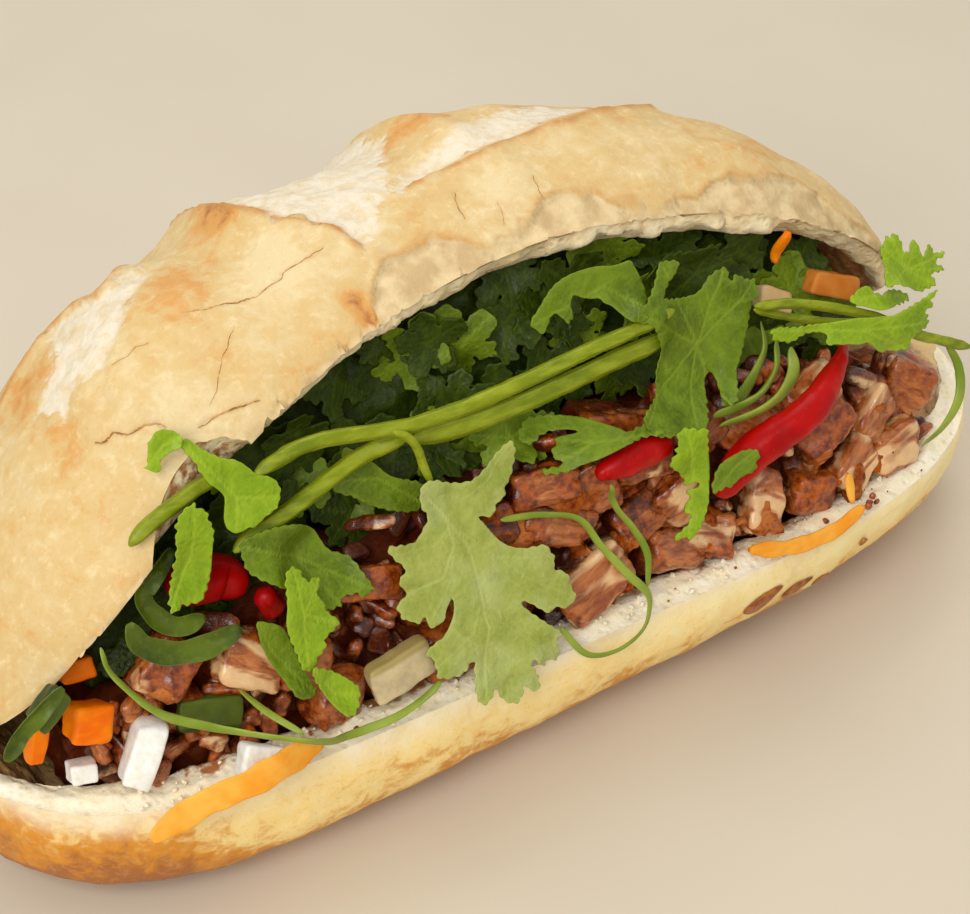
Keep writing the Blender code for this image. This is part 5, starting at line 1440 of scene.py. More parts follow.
def build_strip(name, line, width, thick, finish, cup=0.0, sides=22, rough=0.05, twist=0.0, seed=0, square=5.0):
    """A flat strip with rounded edges, cupped across its width."""
    spine, shares, _ = strand_line(name, line, 0.7)
    angles = np.linspace(0, 2 * math.pi, sides, endpoint=False)
    cos, sin = np.cos(angles), np.sin(angles)
    size = (np.abs(cos) ** square + np.abs(sin) ** square) ** (-1 / square)
    end = np.clip(np.minimum(shares, shares[-1] - shares) / (width * 1.5), 0.02, 1)
    wide = width / 2 * (0.12 + 0.88 * np.sqrt(1 - (1 - end) ** 2)) * (1 + 0.06 * np.sin(shares * 0.9 + seed))
    across = wide[:, None] * cos * size
    up = thick / 2 * (sin * size)[None] * np.ones(len(shares))[:, None] + cup * (across / (width / 2)) ** 2
    section = np.stack((across, up), -1)
    turn = twist * np.sin(shares / 11.0 + seed) if twist else None
    return sweep(spine, section, name + "_strip", finish, [name], turn=turn, rough=rough, seed=seed)


def stem_finish():
    f = Finish("stem", 0.38, Specular_IOR_Level=0.25, Subsurface_Weight=0.2, Subsurface_Scale=0.0015)
    f.shader.inputs["Subsurface Radius"].default_value = (0.7, 1.0, 0.2)
    streak = f.noise(1.6, 3, 0.6, 0.0, f.stretched(f.place, (0.3, 1, 1)))
    cloud = f.noise(16, 2, 0.5)
    colour = f.mix(f.span(cloud, 0.35, 0.65), srgb(126, 138, 8), srgb(104, 120, 4))
    colour = f.mix(f.span(streak, 0.35, 0.7, 0.0, 0.6), colour, srgb(162, 172, 44))
    return f.drive(Base_Color=colour, Normal=f.bump(streak, 0.2, 0.4))


def onion_finish(name, main, second):
    f = Finish(name, 0.34, Specular_IOR_Level=0.28, Subsurface_Weight=0.1, Subsurface_Scale=0.0012)
    f.shader.inputs["Subsurface Radius"].default_value = (0.6, 1.0, 0.2)
    cloud = f.noise(9, 2, 0.5)
    streak = f.noise(1.5, 3, 0.6)
    side = f.maths("ABSOLUTE", f.maths("SUBTRACT", f.maths("PINGPONG", f.field("round"), 0.5), 0.25))
    # Lighter along the strand's two edges: partly the onion's paler edge, partly painted highlight.
    edge = f.span(side, 0.16, 0.25)
    colour = f.mix(f.span(cloud, 0.3, 0.7), main, second)
    colour = f.mix(f.maths("MULTIPLY", edge, 0.55), colour, srgb(144, 162, 62))
    colour = f.mix(f.span(streak, 0.45, 0.75, 0.0, 0.3), colour, srgb(126, 142, 44))
    return f.drive(Base_Color=colour, Normal=f.bump(streak, 0.15, 0.4))


def chilli_finish():
    f = Finish("chilli", 0.36, Specular_IOR_Level=0.16)
    cloud = f.noise(8, 2, 0.5)
    colour = f.mix(f.span(cloud, 0.3, 0.7), srgb(152, 2, 2), srgb(186, 8, 5))
    colour = f.mix(f.span(f.noise(1.2, 2, 0.5), 0.6, 0.8, 0.0, 0.3), colour, srgb(226, 50, 24))
    return f.drive(Base_Color=colour, Normal=f.bump(f.noise(3.5, 2, 0.5), 0.35, 0.4))


def carrot_finish(name, main, pale):
    f = Finish(name, 0.42, Specular_IOR_Level=0.14, Subsurface_Weight=0.04, Subsurface_Scale=0.002)
    f.shader.inputs["Subsurface Radius"].default_value = (1.0, 0.45, 0.1)
    fibre = f.noise(1.0, 4, 0.65, 0.0, f.stretched(f.place, (0.2, 1, 1)))
    cloud = f.noise(6, 2, 0.5)
    colour = f.mix(f.span(cloud, 0.3, 0.72), main, pale)
    colour = f.mix(f.span(fibre, 0.45, 0.75, 0.0, 0.45), colour, pale)
    relief = f.bump(fibre, 0.25, 0.5)
    return f.drive(Base_Color=colour, Normal=f.bump(f.noise(0.6, 3, 0.6), 0.1, 0.4, relief))


def daikon_finish():
    f = Finish("daikon", 0.34, Specular_IOR_Level=0.3, Subsurface_Weight=0.35, Subsurface_Scale=0.003)
    f.shader.inputs["Subsurface Radius"].default_value = (1.0, 0.95, 0.85)
    fibre = f.noise(1.3, 4, 0.6, 0.0, f.stretched(f.place, (1, 0.3, 1)))
    colour = f.mix(f.span(fibre, 0.35, 0.7), srgb(246, 245, 238), srgb(232, 230, 216))
    return f.drive(Base_Color=colour, Normal=f.bump(fibre, 0.3, 0.4))


def cucumber_finish(name, flesh, skin):
    f = Finish(name, 0.3, Specular_IOR_Level=0.3, Subsurface_Weight=0.2, Subsurface_Scale=0.002)
    f.shader.inputs["Subsurface Radius"].default_value = (0.8, 1.0, 0.3)
    cloud = f.noise(3, 3, 0.6)
    rind = f.span(f.field("rind"), 0.55, 0.8)
    colour = f.mix(rind, f.mix(f.span(cloud, 0.3, 0.7), flesh, tuple(c * 0.72 for c in flesh)), skin)
    return f.drive(Base_Color=colour, Normal=f.bump(cloud, 0.25, 0.4))


def build_strands():
    stem, chilli = stem_finish(), chilli_finish()
    onion = onion_finish("onion", srgb(48, 62, 4), srgb(88, 106, 14))
    onion_thin = onion_finish("onion_thin", srgb(112, 134, 30), srgb(148, 164, 60))
    carrot = carrot_finish("carrot", srgb(232, 102, 0), srgb(246, 136, 4))
    PIECE_FINISHES["carrot"] = carrot
    carrot_pale = carrot_finish("carrot_thin", srgb(238, 150, 34), srgb(246, 182, 74))
    for seed, (name, (kind, _, wide, line)) in enumerate(TUBES.items()):
        if kind == "stem":
            build_tube(name, line, [wide / 2] * len(line), stem, sides=20, ribs=0.08, rough=0.10, blunt=3.5, seed=seed)
        else:
            radii = wide * (0.36 + 0.12 * np.sin(np.linspace(0, math.pi, len(line))))
            if name.startswith("onion_curl"):
                radii = radii * 1.35
            build_tube(name, line, radii, onion_thin, flat=0.4, sides=16, rough=0.05, blunt=4.0, twist=0.9, seed=seed)
    for seed, (name, (kind, _, width, thick, line)) in enumerate(STRIPS.items()):
        if kind == "onion":
            build_strip(name, line, width, thick * 0.5, onion, cup=0.95, twist=0.25, seed=seed, square=3.0)
        else:
            finish = carrot if name == "carrot_under_lid" else carrot_pale
            build_strip(name, line, width, thick * 0.6, finish, rough=0.16, seed=seed, square=2.6)
    for seed, (name, (_, line, radii)) in enumerate(CHILLIES.items()):
        build_tube(name, line, np.array(radii) * 0.92, chilli, sides=36, rough=0.16, blunt=0.8, seed=seed)


# Blocks of pickle, and pork

BOX_FACES = ((0, 1, 3, 2), (4, 6, 7, 5), (0, 4, 5, 1), (2, 3, 7, 6), (0, 2, 6, 4), (1, 5, 7, 3))


def box_points(size, turn, centre, draw, jitter=0.16):
    """The eight corners of a turned box, each nudged by a random draw."""
    corners = []
    for i in range(8):
        corner = Vector([(1 if i >> axis & 1 else -1) * size[axis] / 2 for axis in range(3)])
        corner = Vector([c * (1 - draw.uniform(0, jitter)) for c in corner])
        corners.append(turn @ corner + Vector(centre))
    return np.array(corners)


def random_turn(draw, most):
    angles = [draw.uniform(-most, most) for _ in range(3)]
    return (
        Matrix.Rotation(angles[2] * 2, 3, "Z")
        @ Matrix.Rotation(angles[1], 3, "Y")
        @ Matrix.Rotation(angles[0], 3, "X")
    )


def unit_box(count):
    """Points on the faces of a box from -1 to 1, shared along its edges, and its quads."""
    known = {}
    spots = []
    faces = []
    steps = np.linspace(-1, 1, count)
    for axis in range(3):
        for end in (-1.0, 1.0):
            index = np.empty((count, count), int)
            for i, a in enumerate(steps):
                for j, b in enumerate(steps):
                    spot = [0.0, 0.0, 0.0]
                    spot[axis], spot[(axis + 1) % 3], spot[(axis + 2) % 3] = end, a, b
                    key = tuple(round(c * 1000) for c in spot)
                    if key not in known:
                        known[key] = len(spots)
                        spots.append(spot)
                    index[i, j] = known[key]
            for i in range(count - 1):
                for j in range(count - 1):
                    face = [index[i, j], index[i + 1, j], index[i + 1, j + 1], index[i, j + 1]]
                    faces.append(face if end > 0 else face[::-1])
    return np.array(spots), faces


def soft_box(corners, count=10, power=7.0, lumps=0.35, size=2.6, seed=0):
    """A rounded, lumpy block between eight corners, with each point's place in it from -1 to 1."""
    unit, faces = unit_box(count)
    held = unit / (np.abs(unit) ** power).sum(1, keepdims=True) ** (1 / power)
    points = np.zeros((len(unit), 3))
    for i in range(8):
        signs = np.array([1 if i >> axis & 1 else -1 for axis in range(3)])
        points += np.prod((1 + signs * held) / 2, axis=1)[:, None] * corners[i]
    outward = points - points.mean(0)
    outward /= np.linalg.norm(outward, axis=1, keepdims=True)
    points = points + outward * (lumps * fractal(points, size, 3, seed))[:, None]
    return points, faces, held


def build_blocks():
    daikon = daikon_finish()
    dark = cucumber_finish("cucumber_dark", srgb(84, 100, 26), srgb(44, 60, 10))
    pale = cucumber_finish("cucumber_pale", srgb(206, 186, 142), srgb(166, 146, 88))
    finishes = {"daikon": daikon, "carrot": PIECE_FINISHES["carrot"], "cucumber": dark}
    # Painted shade: the carrot and daikon under the lid get darker, browner copies of their finishes.
    shaded = carrot_finish("carrot_shaded", srgb(196, 108, 34), srgb(214, 138, 60))
    tan = carrot_finish("daikon_painted_shade", srgb(226, 188, 130), srgb(238, 208, 160))
    special = {"cucumber_slice_front": pale, "daikon_under_lid": tan, "carrot_slice_under_lid": shaded}
    draw = random.Random(3)
    for seed, (name, (kind, *_)) in enumerate(BLOCKS.items()):
        points, _ = node_arrays(name)
        corners = np.unique(points.round(3), axis=0)
        centre = corners.mean(0)
        away = corners - centre
        _, _, axes = np.linalg.svd(away)
        local = away @ axes.T
        order = np.empty((8, 3))
        for i in range(8):
            signs = np.array([1 if i >> axis & 1 else -1 for axis in range(3)])
            order[i] = corners[np.argmax((local * signs / np.abs(local).max(0)).sum(1))]
        order = order + (centre - order) * [[draw.uniform(0, 0.16)] for _ in range(8)]
        finish = special.get(name, finishes[kind])
        points, faces, held = soft_box(order, 18, 8.5, 0.4, 5.0, seed + 90)
        add_piece(name + "_block", from_mouth(points), faces, finish, [name], {"rind": held[:, 1]})


PORK_REACH = (-90.0, 90.0)
SPLIT_SHARE = 0.53
PORK_FRONT = -9.0
PORK_RISE = 0.10
PICKLE_END = -74.0
HERB_FRONT = -14.0
CUBE_SIZES = ((9.5, 13.5), (8.0, 11.0), (8.0, 10.0))
CUBE_PITCH = 11.5
CUBE_ROW_PITCH = 9.0
CUBE_FIRST_ROW = 9.5
CUBE_ROWS = 4
CUBES_A_ROW = 15
MAIN_CUBES = (
    (7.1, 9.5, 15.0, 11.0, 11.0, 14.0),
    (1.5, 31.0, 14.0, 7.5, 9.0, -8.0),
    (2.5, 22.5, 15.0, 7.5, 8.0, -14.0),
    (-36.0, 26.0, 14.0, 6.0, 8.0, -24.0),
    (-72.0, 24.5, 11.0, 9.0, 8.0, 28.0),
    (-58.0, 20.5, 13.0, 9.5, 9.0, -22.0),
    (45.4, 11.5, 8.0, 13.0, 10.0, -12.0),
)
SHADED_DEPTH = 2.6
PICKLE_PATCHES = ((-67.0, 12.5, 12.0), (-79.0, 14.0, 9.0), (-34.5, 9.0, 9.0))


def rim_setback(x):
    return middle_y(x) - front_width(x) - MOUTH_ORIGIN[1]


def rim_n(x):
    return -rim_setback(x) * math.sin(MOUTH_TILT)


def rim_w(x):
    return rim_setback(x) * math.cos(MOUTH_TILT)


def lid_edge_w(x):
    x = np.float64(x)
    return to_mouth(open_lid(x, middle_y(x) - lid_half_width(x), 0.0))[1]


def split_w(x):
    return rim_w(x) + SPLIT_SHARE * (lid_edge_w(x) - rim_w(x))


def pork_front(x, w):
    return rim_n(x) + PORK_FRONT + PORK_RISE * (w - rim_w(x))


def pork_cubes(draw):
    """The corners of the chopped roast pork that shows, as in the part."""
    cubes = []
    for x, w, *size, degrees in MAIN_CUBES:
        turn = Matrix.Rotation(math.radians(degrees), 3, "Z") @ random_turn(draw, 0.12)
        cubes.append(box_points(size, turn, (x, w, pork_front(x, w) + 2.5), draw))
    for row in range(CUBE_ROWS):
        for k in range(CUBES_A_ROW):
            x = PICKLE_END + CUBE_PITCH * (k + 0.5 + 0.5 * (row % 2)) + draw.uniform(-2, 2)
            size = [draw.uniform(*span) for span in CUBE_SIZES]
            turn = random_turn(draw, 0.4)
            w = rim_w(x) + CUBE_FIRST_ROW + CUBE_ROW_PITCH * row + draw.uniform(-1.2, 1.2)
            nearest = min(math.dist((x, w), cube[:2]) for cube in MAIN_CUBES)
            clear = min(math.dist((x, w), patch[:2]) - patch[2] for patch in PICKLE_PATCHES)
            if w > split_w(x) - 2 or x > PORK_REACH[1] - 2 or nearest < 9 or clear < 0:
                continue
            n = pork_front(x, w) + draw.uniform(0.5, 2.5)
            cubes.append(box_points(size, turn, (x, w, n), draw))
    return cubes


def pork_finish(name, shine):
    """Roast pork: lean fibres, seams of fat, a browned glaze, and dark red-brown low in the heap and between pieces:
    partly sauce, partly painted shade in the gaps.
    """
    f = Finish(name, 0.3, Specular_IOR_Level=shine, Subsurface_Weight=0.1, Subsurface_Scale=0.0015)
    f.shader.inputs["Coat Weight"].default_value = shine * 0.5
    f.shader.inputs["Coat Roughness"].default_value = 0.2
    f.shader.inputs["Subsurface Radius"].default_value = (1.0, 0.4, 0.25)
    inner = f.vector_field("inner")
    kind = f.field("kind")
    fibre = f.noise(1.9, 4, 0.6, 0.8, f.stretched(inner, (0.5, 1, 1)))
    cloud = f.noise(4.5, 3, 0.6)
    lean = f.mix(f.span(fibre, 0.3, 0.7), srgb(132, 58, 18), srgb(194, 116, 56))
    seam = f.noise(6, 2, 0.5, 0.8, f.stretched(inner, (0.45, 1, 0.6)))
    seam = f.maths("ADD", seam, f.span(kind, 0.0, 1.0, -0.18, 0.06))
    meat = f.mix(f.span(seam, 0.52, 0.64), lean, f.mix(fibre, srgb(216, 160, 98), srgb(238, 206, 158)))
    glaze = f.maths("ADD", f.field("skin"), f.span(cloud, 0.3, 0.7, -0.4, 0.4))
    glaze = f.maths("SUBTRACT", glaze, f.span(kind, 0.4, 1.0, -0.12, 0.4))
    brown = f.mix(f.span(f.noise(1.6, 3, 0.6), 0.3, 0.7), srgb(96, 30, 4), srgb(186, 92, 20))
    colour = f.mix(f.span(glaze, 0.1, 0.6), meat, brown)
    # Painted shade and sauce: darker where the depth field is high, low in the heap and in the gaps.
    sauce = f.maths("ADD", f.field("depth"), f.span(f.noise(2.4, 3, 0.6), 0.3, 0.7, -0.35, 0.35))
    colour = f.mix(f.span(sauce, 0.35, 1.0, 0.0, 0.9), colour, srgb(66, 16, 4))
    relief = f.bump(fibre, 0.35, 0.5)
    relief = f.bump(f.noise(1.1, 3, 0.6), 0.3, 0.5, relief)
    rough = f.span(cloud, 0.3, 0.7, 0.39 - 0.5 * shine, 0.74 - 0.8 * shine)
    return f.drive(Base_Color=colour, Roughness=rough, Normal=relief)


def join(parts):
    """One set of points, faces and fields from several."""
    points, faces, fields = [], [], {}
    total = 0
    for spots, quads, values in parts:
        points.append(spots)
        faces += [[v + total for v in f] for f in quads]
        for name, column in values.items():
            fields.setdefault(name, []).append(column)
        total += len(spots)
    return np.vstack(points), faces, {name: np.concatenate(columns) for name, columns in fields.items()}


def remeshed(name, voxel):
    """A CAD node's shape as an even fine mesh in the mouth frame."""
    points, faces = node_arrays(name)
    mesh = bpy.data.meshes.new("even")
    mesh.from_pydata(points.tolist(), [], [list(f) for f in faces])
    made = bpy.data.objects.new("even", mesh)
    bpy.context.scene.collection.objects.link(made)
    weld = made.modifiers.new("weld", "WELD")
    weld.merge_threshold = 0.01
    even = made.modifiers.new("even", "REMESH")
    even.mode = "VOXEL"
    even.voxel_size = voxel
    bpy.context.view_layer.update()
    done = made.evaluated_get(bpy.context.evaluated_depsgraph_get()).to_mesh()
    points = np.empty(len(done.vertices) * 3)
    done.vertices.foreach_get("co", points)
    normals = np.empty(len(done.vertices) * 3)
    done.vertices.foreach_get("normal", normals)
    faces = [list(p.vertices) for p in done.polygons]
    bpy.data.objects.remove(made)
    return points.reshape(-1, 3), normals.reshape(-1, 3), faces


def build_pork():
    finish = pork_finish("pork", 0.5)
    PIECE_FINISHES["pork"] = finish
    soaked = pork_finish("pork_soaked", 0.1)
    points, normals, faces = remeshed("pork_heap", 1.3)
    right_end = smooth((points[:, 0] - 52) / 16)
    lumps = 1.5 * fractal(points, 5, 3, 81) + 1.1 * right_end * fractal(points, 3.2, 2, 85)
    points = points + normals * (lumps - 1.0)[:, None]
    front = rim_n(points[:, 0]) + PORK_FRONT + PORK_RISE * (points[:, 1] - rim_w(points[:, 0]))
    fields = {
        "inner": points * MM,
        "kind": 0.3 + 0.3 * value_noise(points, 9, 82),
        "skin": 0.2 + 0.5 * value_noise(points, 6, 83),
        # depth: darker low in the heap, partly sauce and partly painted shade.
        "depth": np.clip(1.1 - (points[:, 2] - front) / 5.0, 0, 1.3) * (1 - 0.55 * right_end),
    }
    add_piece("pork_core", from_mouth(points), faces, soaked, ["pork_heap"], fields)
    draw = random.Random(7)
    tint = random.Random(23)
    parts = []
    for seed, corners in enumerate(pork_cubes(draw)):
        centre = corners.mean(0)
        corners = centre + (corners - centre) * 1.05
        spots, quads, held = soft_box(corners, 14, 5.0 + 5 * tint.random(), 0.6, 3.6, seed + 120)
        outward = spots - centre
        outward /= np.linalg.norm(outward, axis=1, keepdims=True)
        fibre = fractal(held * (1.2, 6.0, 6.0) + 9.0 * seed, 1.5, 2, seed) - 1.3 * ridged(spots + 9.0 * seed, 6.5, 2, seed) ** 6
        spots = spots + outward * (0.24 * fibre + 0.18 * value_noise(spots, 1.3, seed))[:, None]
        kind = tint.random() ** 1.4
        if seed == 0:
            kind = 0.95
        level = pork_front(spots[:, 0], spots[:, 1]) + SHADED_DEPTH * np.exp(-(((spots[:, 0] + 2) / 26) ** 2))
        side = tint.choice((0, 1, 2))
        sign = tint.choice((-1, 1))
        edges = smooth((np.sort(np.abs(held), axis=1)[:, 1] - 0.7) / 0.3)
        skin = np.clip((held[:, side] * sign - 0.35) * 1.3, 0, 1) + 0.25 * (tint.random() < 0.35) + 0.5 * edges
        values = {
            "inner": (held * 5.5 + 40.0 * seed) * MM,
            "kind": np.full(len(spots), kind),
            "skin": skin,
            # depth: darker low in the heap, partly sauce and partly painted shade.
            "depth": np.clip(1.2 - (spots[:, 2] - level) / 4.5, 0, 1.2),
        }
        parts.append((spots, quads, values))
    points, faces, fields = join(parts)
    add_piece("pork_pieces", from_mouth(points), faces, finish, ["pork_heap"], fields)
    build_pork_bits(finish, tint)


def build_pork_bits(finish, draw):
    """Small chopped bits and shreds that fill the gaps between the larger pieces."""
    parts = []
    for seed in range(230):
        x = draw.uniform(-86, 92)
        low, high = rim_w(x) + 4.0, split_w(x) + 1.0
        if high < low:
            continue
        w = draw.uniform(low, high)
        n = pork_front(x, w) + draw.uniform(-0.5, 2.2)
        size = (draw.uniform(5.0, 11.0), draw.uniform(2.6, 5.4), draw.uniform(2.0, 3.6))
        corners = box_points(size, random_turn(draw, 0.9), (x, w, n), draw, 0.4)
        spots, quads, held = soft_box(corners, 7, 4.0, 0.5, 2.2, seed + 400)
        level = pork_front(spots[:, 0], spots[:, 1]) + SHADED_DEPTH * np.exp(-(((spots[:, 0] + 2) / 40) ** 2))
        values = {
            "inner": (held * 3.0 + 30.0 * seed) * MM,
            "kind": np.full(len(spots), draw.random() ** 1.3),
            "skin": np.full(len(spots), draw.random() ** 2),
            # depth: darker low in the heap, partly sauce and partly painted shade.
            "depth": np.clip(1.15 - (spots[:, 2] - level) / 4.0, 0, 1.2),
        }
        parts.append((spots, quads, values))
    points, faces, fields = join(parts)
    add_piece("pork_bits", from_mouth(points), faces, finish, ["pork_heap"], fields)


def scattered_leaf(draw, seed):
    """The outline, veins and lobes of a small leaf round the origin."""
    reach = draw.uniform(7.0, 11.0)
    first = draw.uniform(0, 6.28)
    lobes = []
    count = draw.choice((5, 5, 6))
    for k in range(count):
        angle = first + 6.28 * k / count + draw.uniform(-0.15, 0.15)
        far = reach * draw.uniform(0.75, 1.0)
        lobes.append((far * math.cos(angle), far * math.sin(angle), draw.uniform(5, 7), draw.uniform(0.45, 0.62)))
    outline = toothed(leaf_outline((0.0, 0.0), lobes), np.zeros(2), 1.1, 2.9, seed)
    return outline, leaf_veins((0.0, 0.0), lobes)


def build_herbs():
    points, normals, faces = remeshed("coriander_heap", 1.3)
    points = points + normals * (0.8 * fractal(points, 4, 3, 91) - 0.6)[:, None]
    blank = np.zeros(len(points))
    fields = {"vein": 0.25 + 0.25 * value_noise(points, 3, 92), "margin": blank, "centre": blank, "under": blank}
    # The core and most leaves inside the heap take the deep finish: painted shade inside the heap.
    add_piece("coriander_core", from_mouth(points), faces, LEAF_FINISHES["deep"], ["coriander_heap"], fields)
    draw = random.Random(5)
    parts = {"deep": [], "middle": []}
    for seed in range(58):
        x = draw.uniform(-72, 76)
        low, high = split_w(x) + 1.0, lid_edge_w(x) - 5.0
        w = draw.uniform(low, high) if high > low else (low + high) / 2
        n = rim_n(x) + HERB_FRONT + draw.uniform(0.5, 5.0)
        outline, veins = scattered_leaf(draw, seed + 200)
        flat, quads = fill_outline(outline, 0.6)
        margin = edge_distance(flat, outline)
        vein = np.zeros(len(flat))
        for strength, line in veins:
            away = line_distance(np.column_stack((flat, blank[: len(flat)])), np.column_stack((line, (0, 0))))
            vein = np.maximum(vein, strength * np.exp(-((away / 0.32) ** 2)))
        reach = np.linalg.norm(flat, axis=1)
        fold = draw.uniform(-0.05, 0.06) * (flat @ np.array((math.cos(seed), math.sin(seed)))) ** 2
        lift = fold + 0.8 * value_noise(np.column_stack((flat, np.full(len(flat), seed))), 5, seed) - 0.25 * vein
        sheet, solid = thicken(np.column_stack((flat, lift)), quads, 0.3)
        turn = np.array(random_turn(draw, 0.42))
        sheet = sheet @ turn.T + (x, w, n)
        values = {
            "vein": np.tile(vein, 2),
            "margin": np.tile(np.exp(-margin / 0.45), 2),
            "centre": np.tile(np.exp(-reach / 4.0), 2),
            "under": np.repeat((0.0, 1.0), len(flat)),
        }
        parts["middle" if draw.random() < 0.3 else "deep"].append((sheet, solid, values))
    for kind, group in parts.items():
        points, faces, fields = join(group)
        add_piece("coriander_inside_" + kind, from_mouth(points), faces, LEAF_FINISHES[kind], ["coriander_heap"], fields)


build_leaves()
build_strands()
build_blocks()
build_pork()
build_herbs()


# Sauce and crumbs


def side_at(x, height):
    """The side value at which the lower half's front has this height."""
    power = spline(STATIONS, UNDERSIDE_POWERS, along_roll(x))
    thin = (half_width(x) / HALF_WIDTH) ** 0.3
    rise = np.clip((1 - height / RIM_HEIGHT) / thin, 0, 1)
    return -((1 - rise**power) ** (1 / power))


CRACK_WIDTH = 0.23
SAUCE_DROPS = (
    (41.8, -0.978, 4.2, 2.9, 0.35),
    (50.6, -0.960, 3.4, 2.2, 0.3),
    (57.4, -0.930, 2.2, 1.5, 0.2),
    (66.4, -0.985, 1.0, 0.9, 0.2),
)
BROWN_CRUMBS = ((68.5, 2.2), (69.8, 1.4), (67.4, 1.5), (70.2, 3.0), (58.0, 3.4), (-44.0, 2.6))


def build_sauce():
    f = Finish("sauce", 0.18, Specular_IOR_Level=0.4)
    spread_out = f.noise(1.6, 3, 0.6)
    colour = f.mix(f.span(spread_out, 0.3, 0.7), srgb(128, 62, 10), srgb(178, 104, 30))
    finish = f.drive(Base_Color=colour, Normal=f.bump(spread_out, 0.1, 0.4))
    rings = np.linspace(0, 1, 9)[:, None]
    angles = np.linspace(0, 2 * math.pi, 40, endpoint=False)[None, :]
    parts = []
    for seed, (x, side, long, high, lean) in enumerate(SAUCE_DROPS):
        level = lower_point(np.float64(x), np.float64(side))[2]
        pointed = 1 - 0.45 * np.clip(np.cos(angles), 0, 1)
        wobble = 1 + 0.12 * np.sin(angles * 3 + seed)
        across = x + long * rings * np.cos(angles) * wobble
        up = level + (high * np.sin(angles) * pointed + lean * np.cos(angles) * long) * rings * wobble
        flat = lower_point(across, side_at(across, np.clip(up, 0.5, RIM_HEIGHT - 0.2)))
        outward = np.array([0.0, -1.0, 0.15])
        spots = flat + outward * (0.5 * np.sqrt(np.clip(1 - rings**2, 0, 1)) + 0.25)[..., None]
        faces = grid_faces(*spots.shape[:2], close=True).tolist()
        parts.append((spots.reshape(-1, 3), faces, {}))
    points, faces, _ = join(parts)
    add_piece("sauce_drops", points, faces, finish)


def build_cracks():
    """Thin dark ribbons along the splits in the lid's crust: painted shade inside the splits."""
    crust = bpy.data.objects["lid_crust"].data
    tree = BVHTree.FromPolygons([v.co / MM for v in crust.vertices], [tuple(p.vertices) for p in crust.polygons])
    # Painted shade: the ribbons' brown stands in for the shade inside each split.
    f = Finish("crust_crack", 0.85, Specular_IOR_Level=0.1)
    finish = f.drive(Base_Color=f.mix(f.span(f.noise(2.0, 3, 0.6), 0.35, 0.65), srgb(152, 102, 52), srgb(206, 158, 98)))
    parts = []
    for seed, (depth, places) in enumerate(CRACKS):
        line = even_steps(crust_line(places), 0.4)[0]
        shake = np.stack([value_noise(line, 1.7, 41 + seed + axis) for axis in range(3)], -1)
        line = line + 0.35 * shake
        ahead = np.gradient(line, axis=0)
        ends = np.sqrt(np.clip(np.minimum(np.arange(len(line)), np.arange(len(line))[::-1]) / 6, 0.05, 1))
        wide = CRACK_WIDTH * depth / 0.3 * ends * (0.6 + 0.5 * value_noise(line, 2.5, 47 + seed))
        rings = []
        for spot, run, half in zip(line, ahead, wide):
            place, normal = tree.find_nearest(Vector(spot))[:2]
            aside = normal.cross(Vector(run)).normalized()
            rings.append([place + normal * 0.05 + aside * half, place + normal * 0.09,
                          place + normal * 0.05 - aside * half, place - normal * 0.3])
        ring = np.array(rings)
        faces = grid_faces(len(ring), 4, close=True).tolist()
        faces += [[3, 2, 1, 0], [len(ring) * 4 - 4 + k for k in range(4)]]
        parts.append((ring.reshape(-1, 3), faces, {}))
    points, faces, _ = join(parts)
    add_piece("crack_shade_ribbons", points, faces, finish)


def build_crumbs():
    """Loose crumbs of bread and browned bits along the rim."""
    draw = random.Random(31)
    groups = {"crumbs_pale": (BASE_CRUMB, []), "crumbs_brown": (PIECE_FINISHES["pork"], [])}
    places = [("crumbs_pale", draw.uniform(-84, 84), draw.uniform(0.6, 8.0), draw.uniform(0.5, 1.3)) for _ in range(150)]
    places += [("crumbs_brown", x, back, draw.uniform(1.1, 1.9)) for x, back in BROWN_CRUMBS]
    places += [("crumbs_brown", draw.uniform(-70, 84), draw.uniform(1.0, 7.5), draw.uniform(0.4, 0.9)) for _ in range(26)]
    for seed, (group, x, back, size) in enumerate(places):
        y = middle_y(x) - front_width(x) + back
        centre = np.array([x, y, RIM_HEIGHT + 0.5 + 0.3 * size])
        corners = box_points((size, size * 0.8, size * 0.7), random_turn(draw, 1.2), centre, draw, 0.3)
        spots, quads, held = soft_box(corners, 4, 3.0, 0.15, 0.8, seed)
        blank = np.zeros(len(spots))
        values = {"inner": spots * MM, "kind": blank + 0.1, "skin": blank + 1.0, "depth": blank + 0.3, "rim": blank + 1.0, "sauce": blank}
        groups[group][1].append((spots, quads, values))
    for name, (finish, parts) in groups.items():
        points, faces, fields = join(parts)
        add_piece(name, points, faces, finish, (), fields)


build_sauce()
build_cracks()
build_crumbs()


# Floor, light and camera


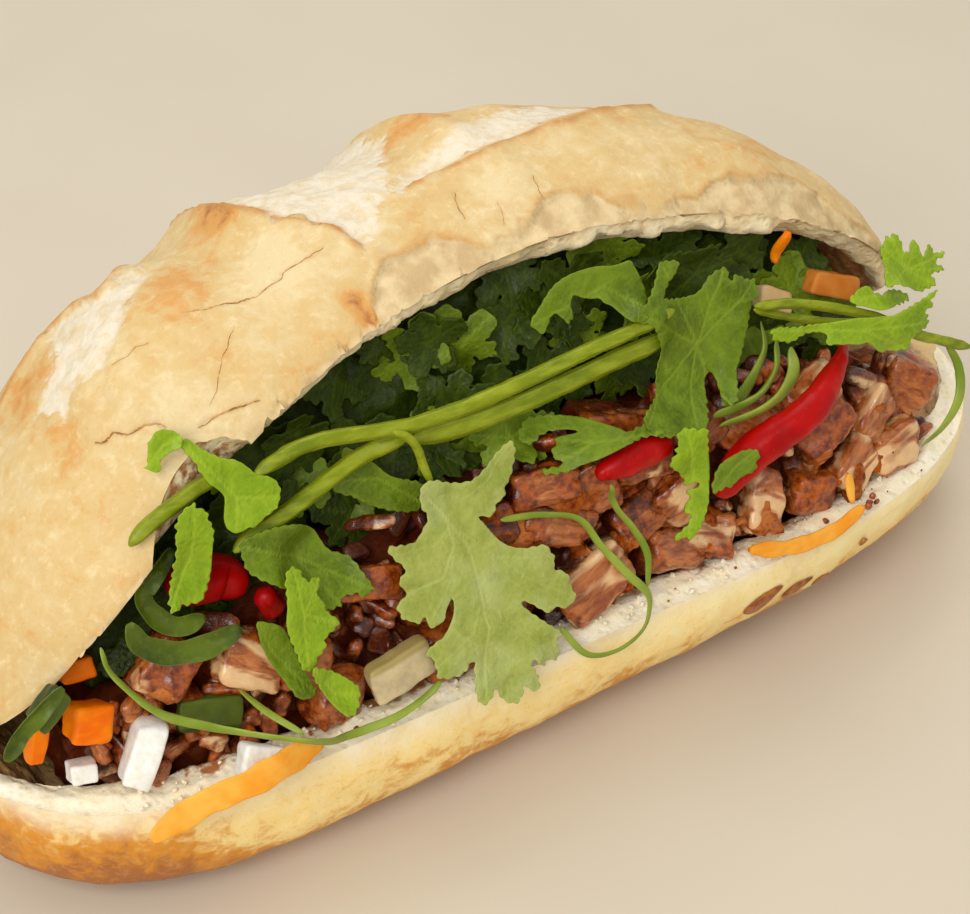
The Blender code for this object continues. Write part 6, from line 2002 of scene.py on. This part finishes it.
def build_floor():
    size = 3000.0
    mesh = bpy.data.meshes.new("floor")
    corners = [(-size, -size, -0.2), (size, -size, -0.2), (size, size, -0.2), (-size, size, -0.2)]
    mesh.from_pydata([Vector(c) * MM for c in corners], [], [(0, 1, 2, 3)])
    f = Finish("floor", 0.7)
    soft = f.noise(60, 2, 0.5)
    mesh.materials.append(f.drive(Base_Color=f.mix(soft, srgb(206, 194, 172), srgb(214, 203, 183))))
    floor = bpy.data.objects.new("floor", mesh)
    bpy.context.scene.collection.objects.link(floor)


def add_light(name, azimuth, elevation, distance, size, watts, colour=(1, 1, 1)):
    """A soft square light aimed at the roll from this direction."""
    turn, rise = math.radians(azimuth), math.radians(elevation)
    away = Vector((math.sin(turn) * math.cos(rise), -math.cos(turn) * math.cos(rise), math.sin(rise)))
    data = bpy.data.lights.new(name, "AREA")
    data.size = size * MM
    data.energy = watts
    data.color = colour
    light = bpy.data.objects.new(name, data)
    light.location = (Vector(TARGET) + away * distance) * MM
    light.rotation_euler = away.to_track_quat("Z", "Y").to_euler()
    bpy.context.scene.collection.objects.link(light)


def add_world():
    world = bpy.data.worlds.new("studio")
    world.use_nodes = True
    sky = world.node_tree.nodes["Background"]
    sky.inputs["Color"].default_value = (1.0, 0.985, 0.96, 1)
    sky.inputs["Strength"].default_value = 0.66
    bpy.context.scene.world = world


def add_camera():
    turn, rise = math.radians(AZIMUTH), math.radians(ELEVATION)
    back = Vector((math.sin(turn) * math.cos(rise), -math.cos(turn) * math.cos(rise), math.sin(rise)))
    data = bpy.data.cameras.new("camera")
    data.lens = LENS
    data.sensor_width = SENSOR_WIDTH
    data.sensor_fit = "HORIZONTAL"
    data.clip_start = 0.01
    camera = bpy.data.objects.new("camera", data)
    camera.location = (Vector(TARGET) + back * DISTANCE) * MM
    camera.rotation_euler = back.to_track_quat("Z", "Y").to_euler()
    bpy.context.scene.collection.objects.link(camera)
    bpy.context.scene.camera = camera


bpy.context.scene.view_settings.view_transform = "Standard"
build_floor()
add_world()
add_light("key", 150, 62, 700, 380, 1.3, (1.0, 0.97, 0.92))
add_light("fill", -50, 42, 800, 420, 3.6, (1.0, 0.98, 0.96))
add_camera()
